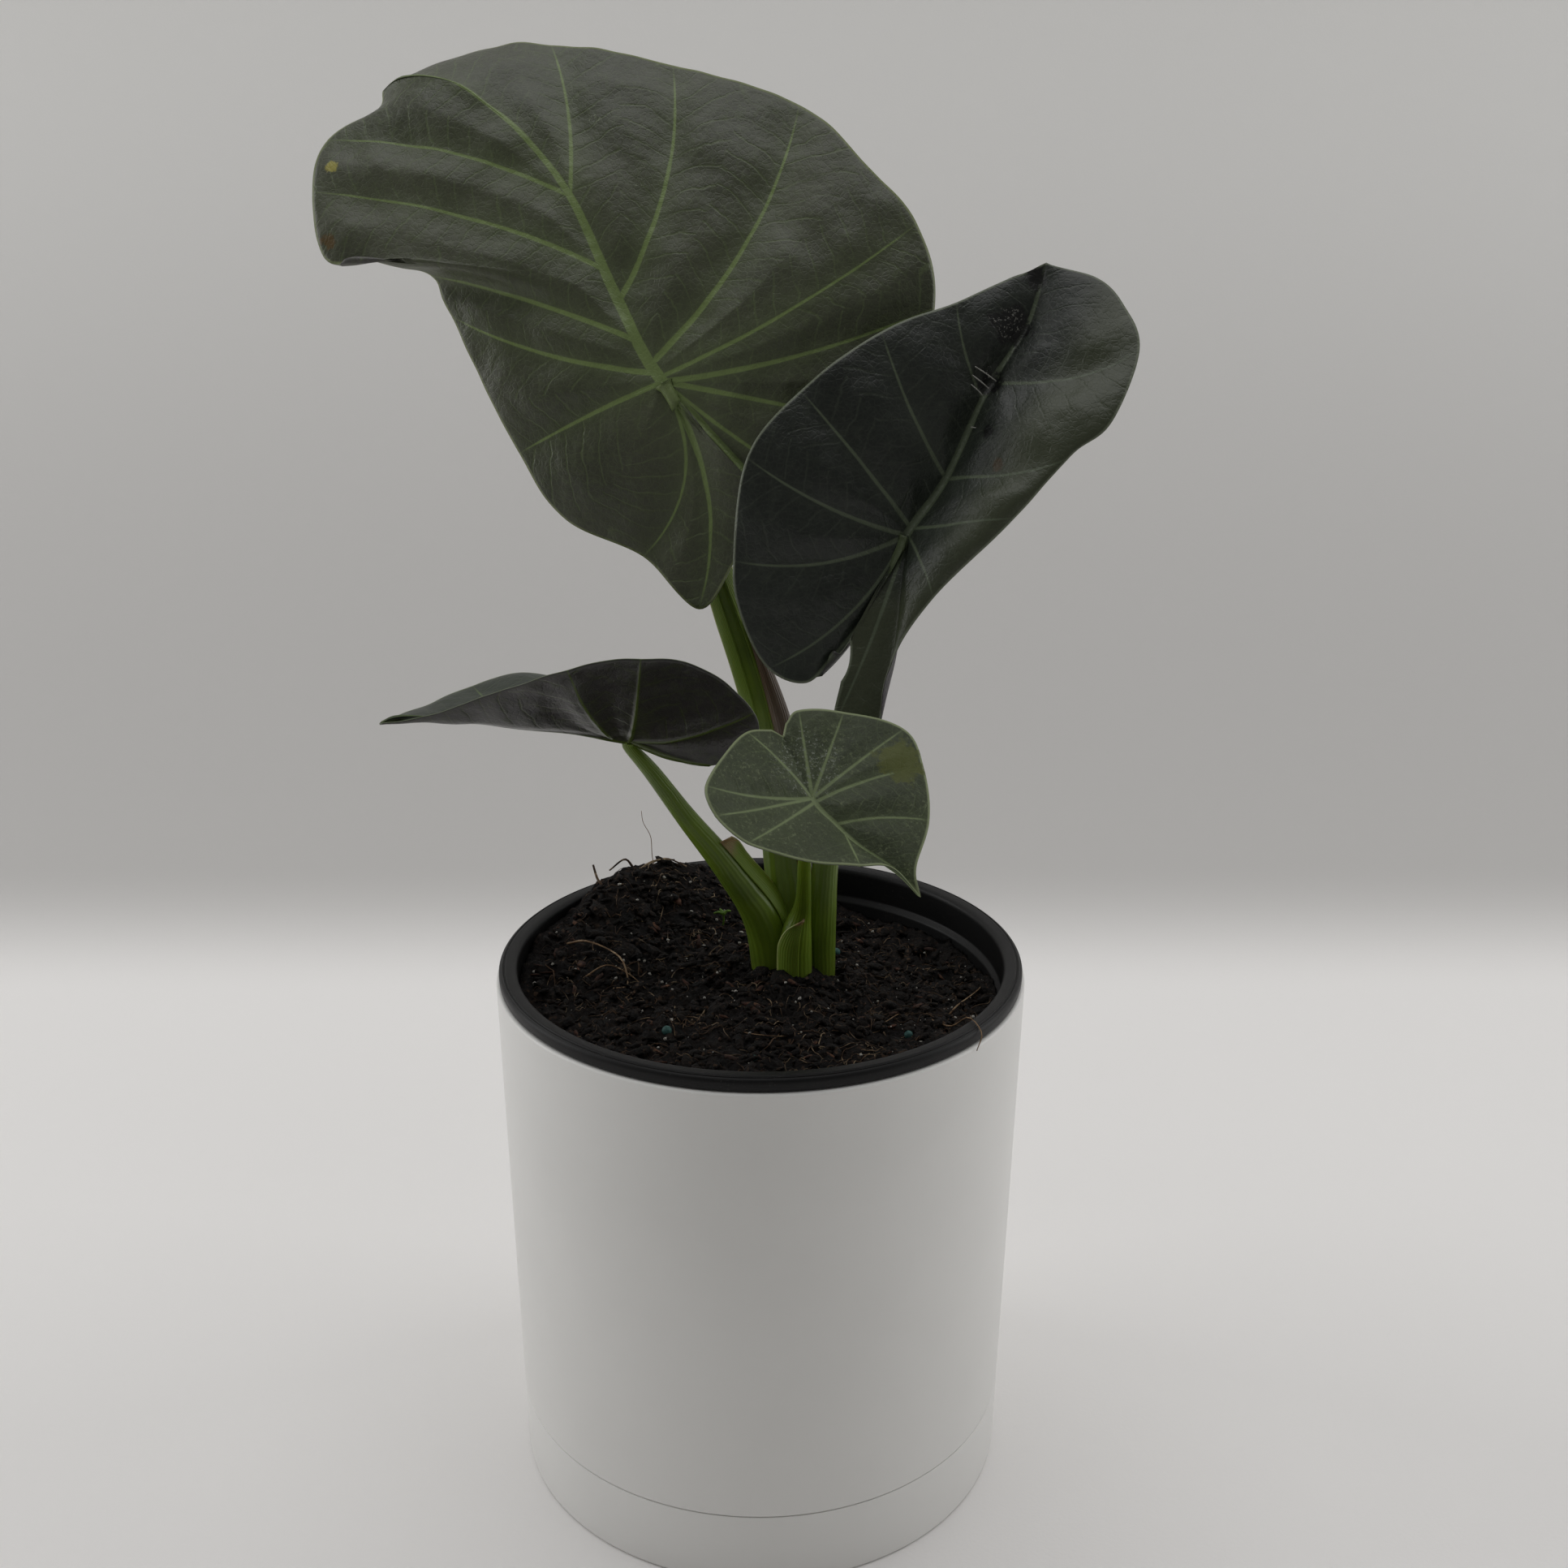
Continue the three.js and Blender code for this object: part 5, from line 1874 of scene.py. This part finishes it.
@dataclass
class TopDressing:
    """Everything small that lies on the soil."""

    soil: Soil

    def build(self) -> None:
        """Builds each kind as one piece."""
        soil = self.soil
        Scatter("soil_crumbs", CRUMBS, soil, 2400, 0.4, 1.8, (1.8, 0.9, 0.5), 0.4, 3).build()
        Scatter("soil_clods", CRUMBS, soil, 110, 1.4, 3.4, (1.5, 1.0, 0.6), 0.1, 5, 70.0, 2).build()
        Scatter("bark_bits", BARK, soil, 170, 0.4, 1.5, (2.2, 0.8, 0.35), 0.5, 7).build()
        Scatter("white_grains", GRIT, soil, 280, 0.16, 0.65, (1.1, 1.0, 0.9), 1.2, 13).build()
        fibres = Strands("soil_fibres", FIBRE, 17)
        fibres.scatter(soil, 560, (2.5, 15.0), (0.08, 0.24))
        fibres.build()
        self.build_prills()
        self.build_roots()
        self.build_seedling()

    def build_prills(self) -> Object:
        """A few round beads of slow plant food.

        Returns:
            The beads, as one piece.
        """
        bm = bmesh.new()
        for x, y, radius in ((-28, -41, 1.5), (25, 25, 1.4), (-2, -60, 1.2), (44, -40, 1.3)):
            spot = Vector((x, y, soil_top(x, y) + radius * 0.5)) * MM
            bmesh.ops.create_icosphere(bm, subdivisions=3, radius=radius * MM,
                                       matrix=Matrix.Translation(spot))
        return place_piece("plant_food_beads", bm, PRILL.material())

    def build_roots(self) -> Object:
        """The loose roots, twigs and hairs on top.

        Returns:
            The roots, as one piece.
        """
        pale = Strands("loose_roots", PALE_ROOT, 19, slot=Slot.ROOT)
        sticks = Strands("twigs", FIBRE, 23)
        for strands, runs in ((pale, ROOTS), (sticks, TWIGS)):
            for foot, tip, *points in runs:
                strands.add([(x, y, z if z > MOST_LIFT else soil_top(x, y) + z) for x, y, z in points],
                            foot, tip)
        sticks.build()
        return pale.build()

    def build_seedling(self) -> Object:
        """A tiny weed with two seed leaves.

        Returns:
            The seedling.
        """
        x, y = -13.0, 39.0
        base = soil_top(x, y)
        sprout = Strands("seedling", SEEDLING, 29, slot=Slot.PETIOLE)
        sprout.add([(x, y, base - 0.5), (x + 0.4, y, base + 2.2), (x + 0.2, y - 0.4, base + 4.6)],
                   0.32, 0.26)
        for turn in (0.4, 3.4, 1.9):
            dx, dy = math.cos(turn), math.sin(turn)
            sprout.add([(x + 0.2, y - 0.4, base + 4.4), (x + 1.4 * dx, y + 1.4 * dy - 0.4, base + 5.2),
                        (x + 3.0 * dx, y + 3.0 * dy - 0.4, base + 5.0)], 0.75, 0.3)
        return sprout.build()


# ---------------------------------------------------------------- stage
# Painted light and shade on one pale surface: bright floor, wall in painted shade at its foot, lighter at
# its top.
PALE_SWEEP = StageFinish("pale_sweep", (0.87, 0.855, 0.845), (0.515, 0.505, 0.495), (0.72, 0.715, 0.70))


@dataclass
class Studio:
    """Sweep, lights and camera."""

    start: float = 0.36
    bend: float = 0.55
    wall_top: float = 2.2
    half_width: float = 3.2
    front: float = -3.0
    air: float = 0.16
    eye: Place = (0.0, -0.526, 0.419)
    pitch: float = 19.5
    turn: float = 0.77
    roll: float = 0.24
    sensor: float = 36.0
    focal_length: float = 41.74

    def build_sweep(self) -> None:
        """The floor that curves up into a wall."""
        bm = bmesh.new()
        profile = [(self.front, 0.0), (-1.0, 0.0), (0.0, 0.0), (self.start, 0.0)]
        for step in range(1, 25):
            angle = math.pi / 2 * step / 24
            profile.append((self.start + self.bend * math.sin(angle), self.bend * (1 - math.cos(angle))))
        profile.append((self.start + self.bend, self.wall_top))
        verts = [bm.verts.new((-self.half_width, y, z)) for y, z in profile]
        edges = [bm.edges.new(pair) for pair in zip(verts, verts[1:])]
        made = bmesh.ops.extrude_edge_only(bm, edges=edges)["geom"]
        moved = [item for item in made if isinstance(item, BMVert)]
        bmesh.ops.translate(bm, verts=moved, vec=(2 * self.half_width, 0, 0))
        bmesh.ops.recalc_face_normals(bm, faces=bm.faces[:])
        if sum(face.normal.z for face in bm.faces) < 0:
            bmesh.ops.reverse_faces(bm, faces=bm.faces[:])
        new_object("sweep", new_mesh("sweep", bm, PALE_SWEEP.material()))

    def add_light(self, name: str, place: Place, aim: Place, size: tuple[float, float],
                  power: float) -> None:
        """Adds a soft rectangular light.

        Args:
            name: its name.
            place: where it hangs, in metres.
            aim: what it points at.
            size: its width and height.
            power: in watts.
        """
        lamp = bpy.data.lights.new(name, "AREA")
        lamp.shape = "RECTANGLE"
        lamp.size, lamp.size_y = size
        lamp.energy = power
        held = new_object(name, lamp)
        held.location = place
        held.rotation_euler = (Vector(aim) - Vector(place)).to_track_quat("-Z", "Y").to_euler()

    def light(self) -> None:
        """Soft light from above and both sides, little from the front."""
        world = bpy.data.worlds.new("studio_air")
        world.use_nodes = True
        back = world.node_tree.nodes["Background"]
        back.inputs[0].default_value = (1.0, 0.985, 0.955, 1.0)
        back.inputs[1].default_value = self.air
        bpy.context.scene.world = world
        self.add_light("overhead", (0.0, 0.05, 1.75), (0, 0, 0.1), (1.8, 1.4), 12.0)
        self.add_light("left_side", (-1.6, 0.25, 0.75), (0, 0, 0.2), (0.9, 1.4), 9.0)
        self.add_light("right_side", (1.6, 0.25, 0.75), (0, 0, 0.2), (0.9, 1.4), 8.0)
        bpy.context.scene.view_settings.view_transform = "Standard"

    def aim_camera(self) -> None:
        """A camera a little above the plant, looking down at it."""
        lens = bpy.data.cameras.new("camera")
        lens.sensor_width = self.sensor
        lens.lens = self.focal_length
        camera = new_object("camera", lens)
        look = Matrix.Translation(self.eye)
        for angle, axis in ((-self.turn, "Z"), (90 - self.pitch, "X"), (self.roll, "Z")):
            look = look @ Matrix.Rotation(math.radians(angle), 4, axis)
        camera.matrix_world = look
        bpy.context.scene.camera = camera

    def build(self) -> None:
        """Builds the whole stage."""
        self.build_sweep()
        self.light()
        self.aim_camera()


def dress_nodes(frame: dict) -> None:
    """Gives the CAD nodes that stay in sight their finishes."""
    node = frame["nodes"]["rootstock"]
    node.data.materials.clear()
    node.data.materials.append(CORM.material())


def main() -> None:
    """Builds every sub-assembly in order."""
    logging.basicConfig(level=logging.INFO, format="%(name)s %(message)s", stream=sys.stdout)
    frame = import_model()
    Studio().build()
    Saucer(WHITE).build()
    CoverPot(WHITE).build()
    GrowerPot(BLACK).build()
    soil = Soil(PEAT)
    soil.build()
    TopDressing(soil).build()
    for leaf in LEAVES:
        leaf.build_petiole()
        leaf.build_blade()
        if leaf.threads:
            leaf.build_threads()
    Spear().build()
    dress_nodes(frame)


if __name__ == "__main__":
    main()
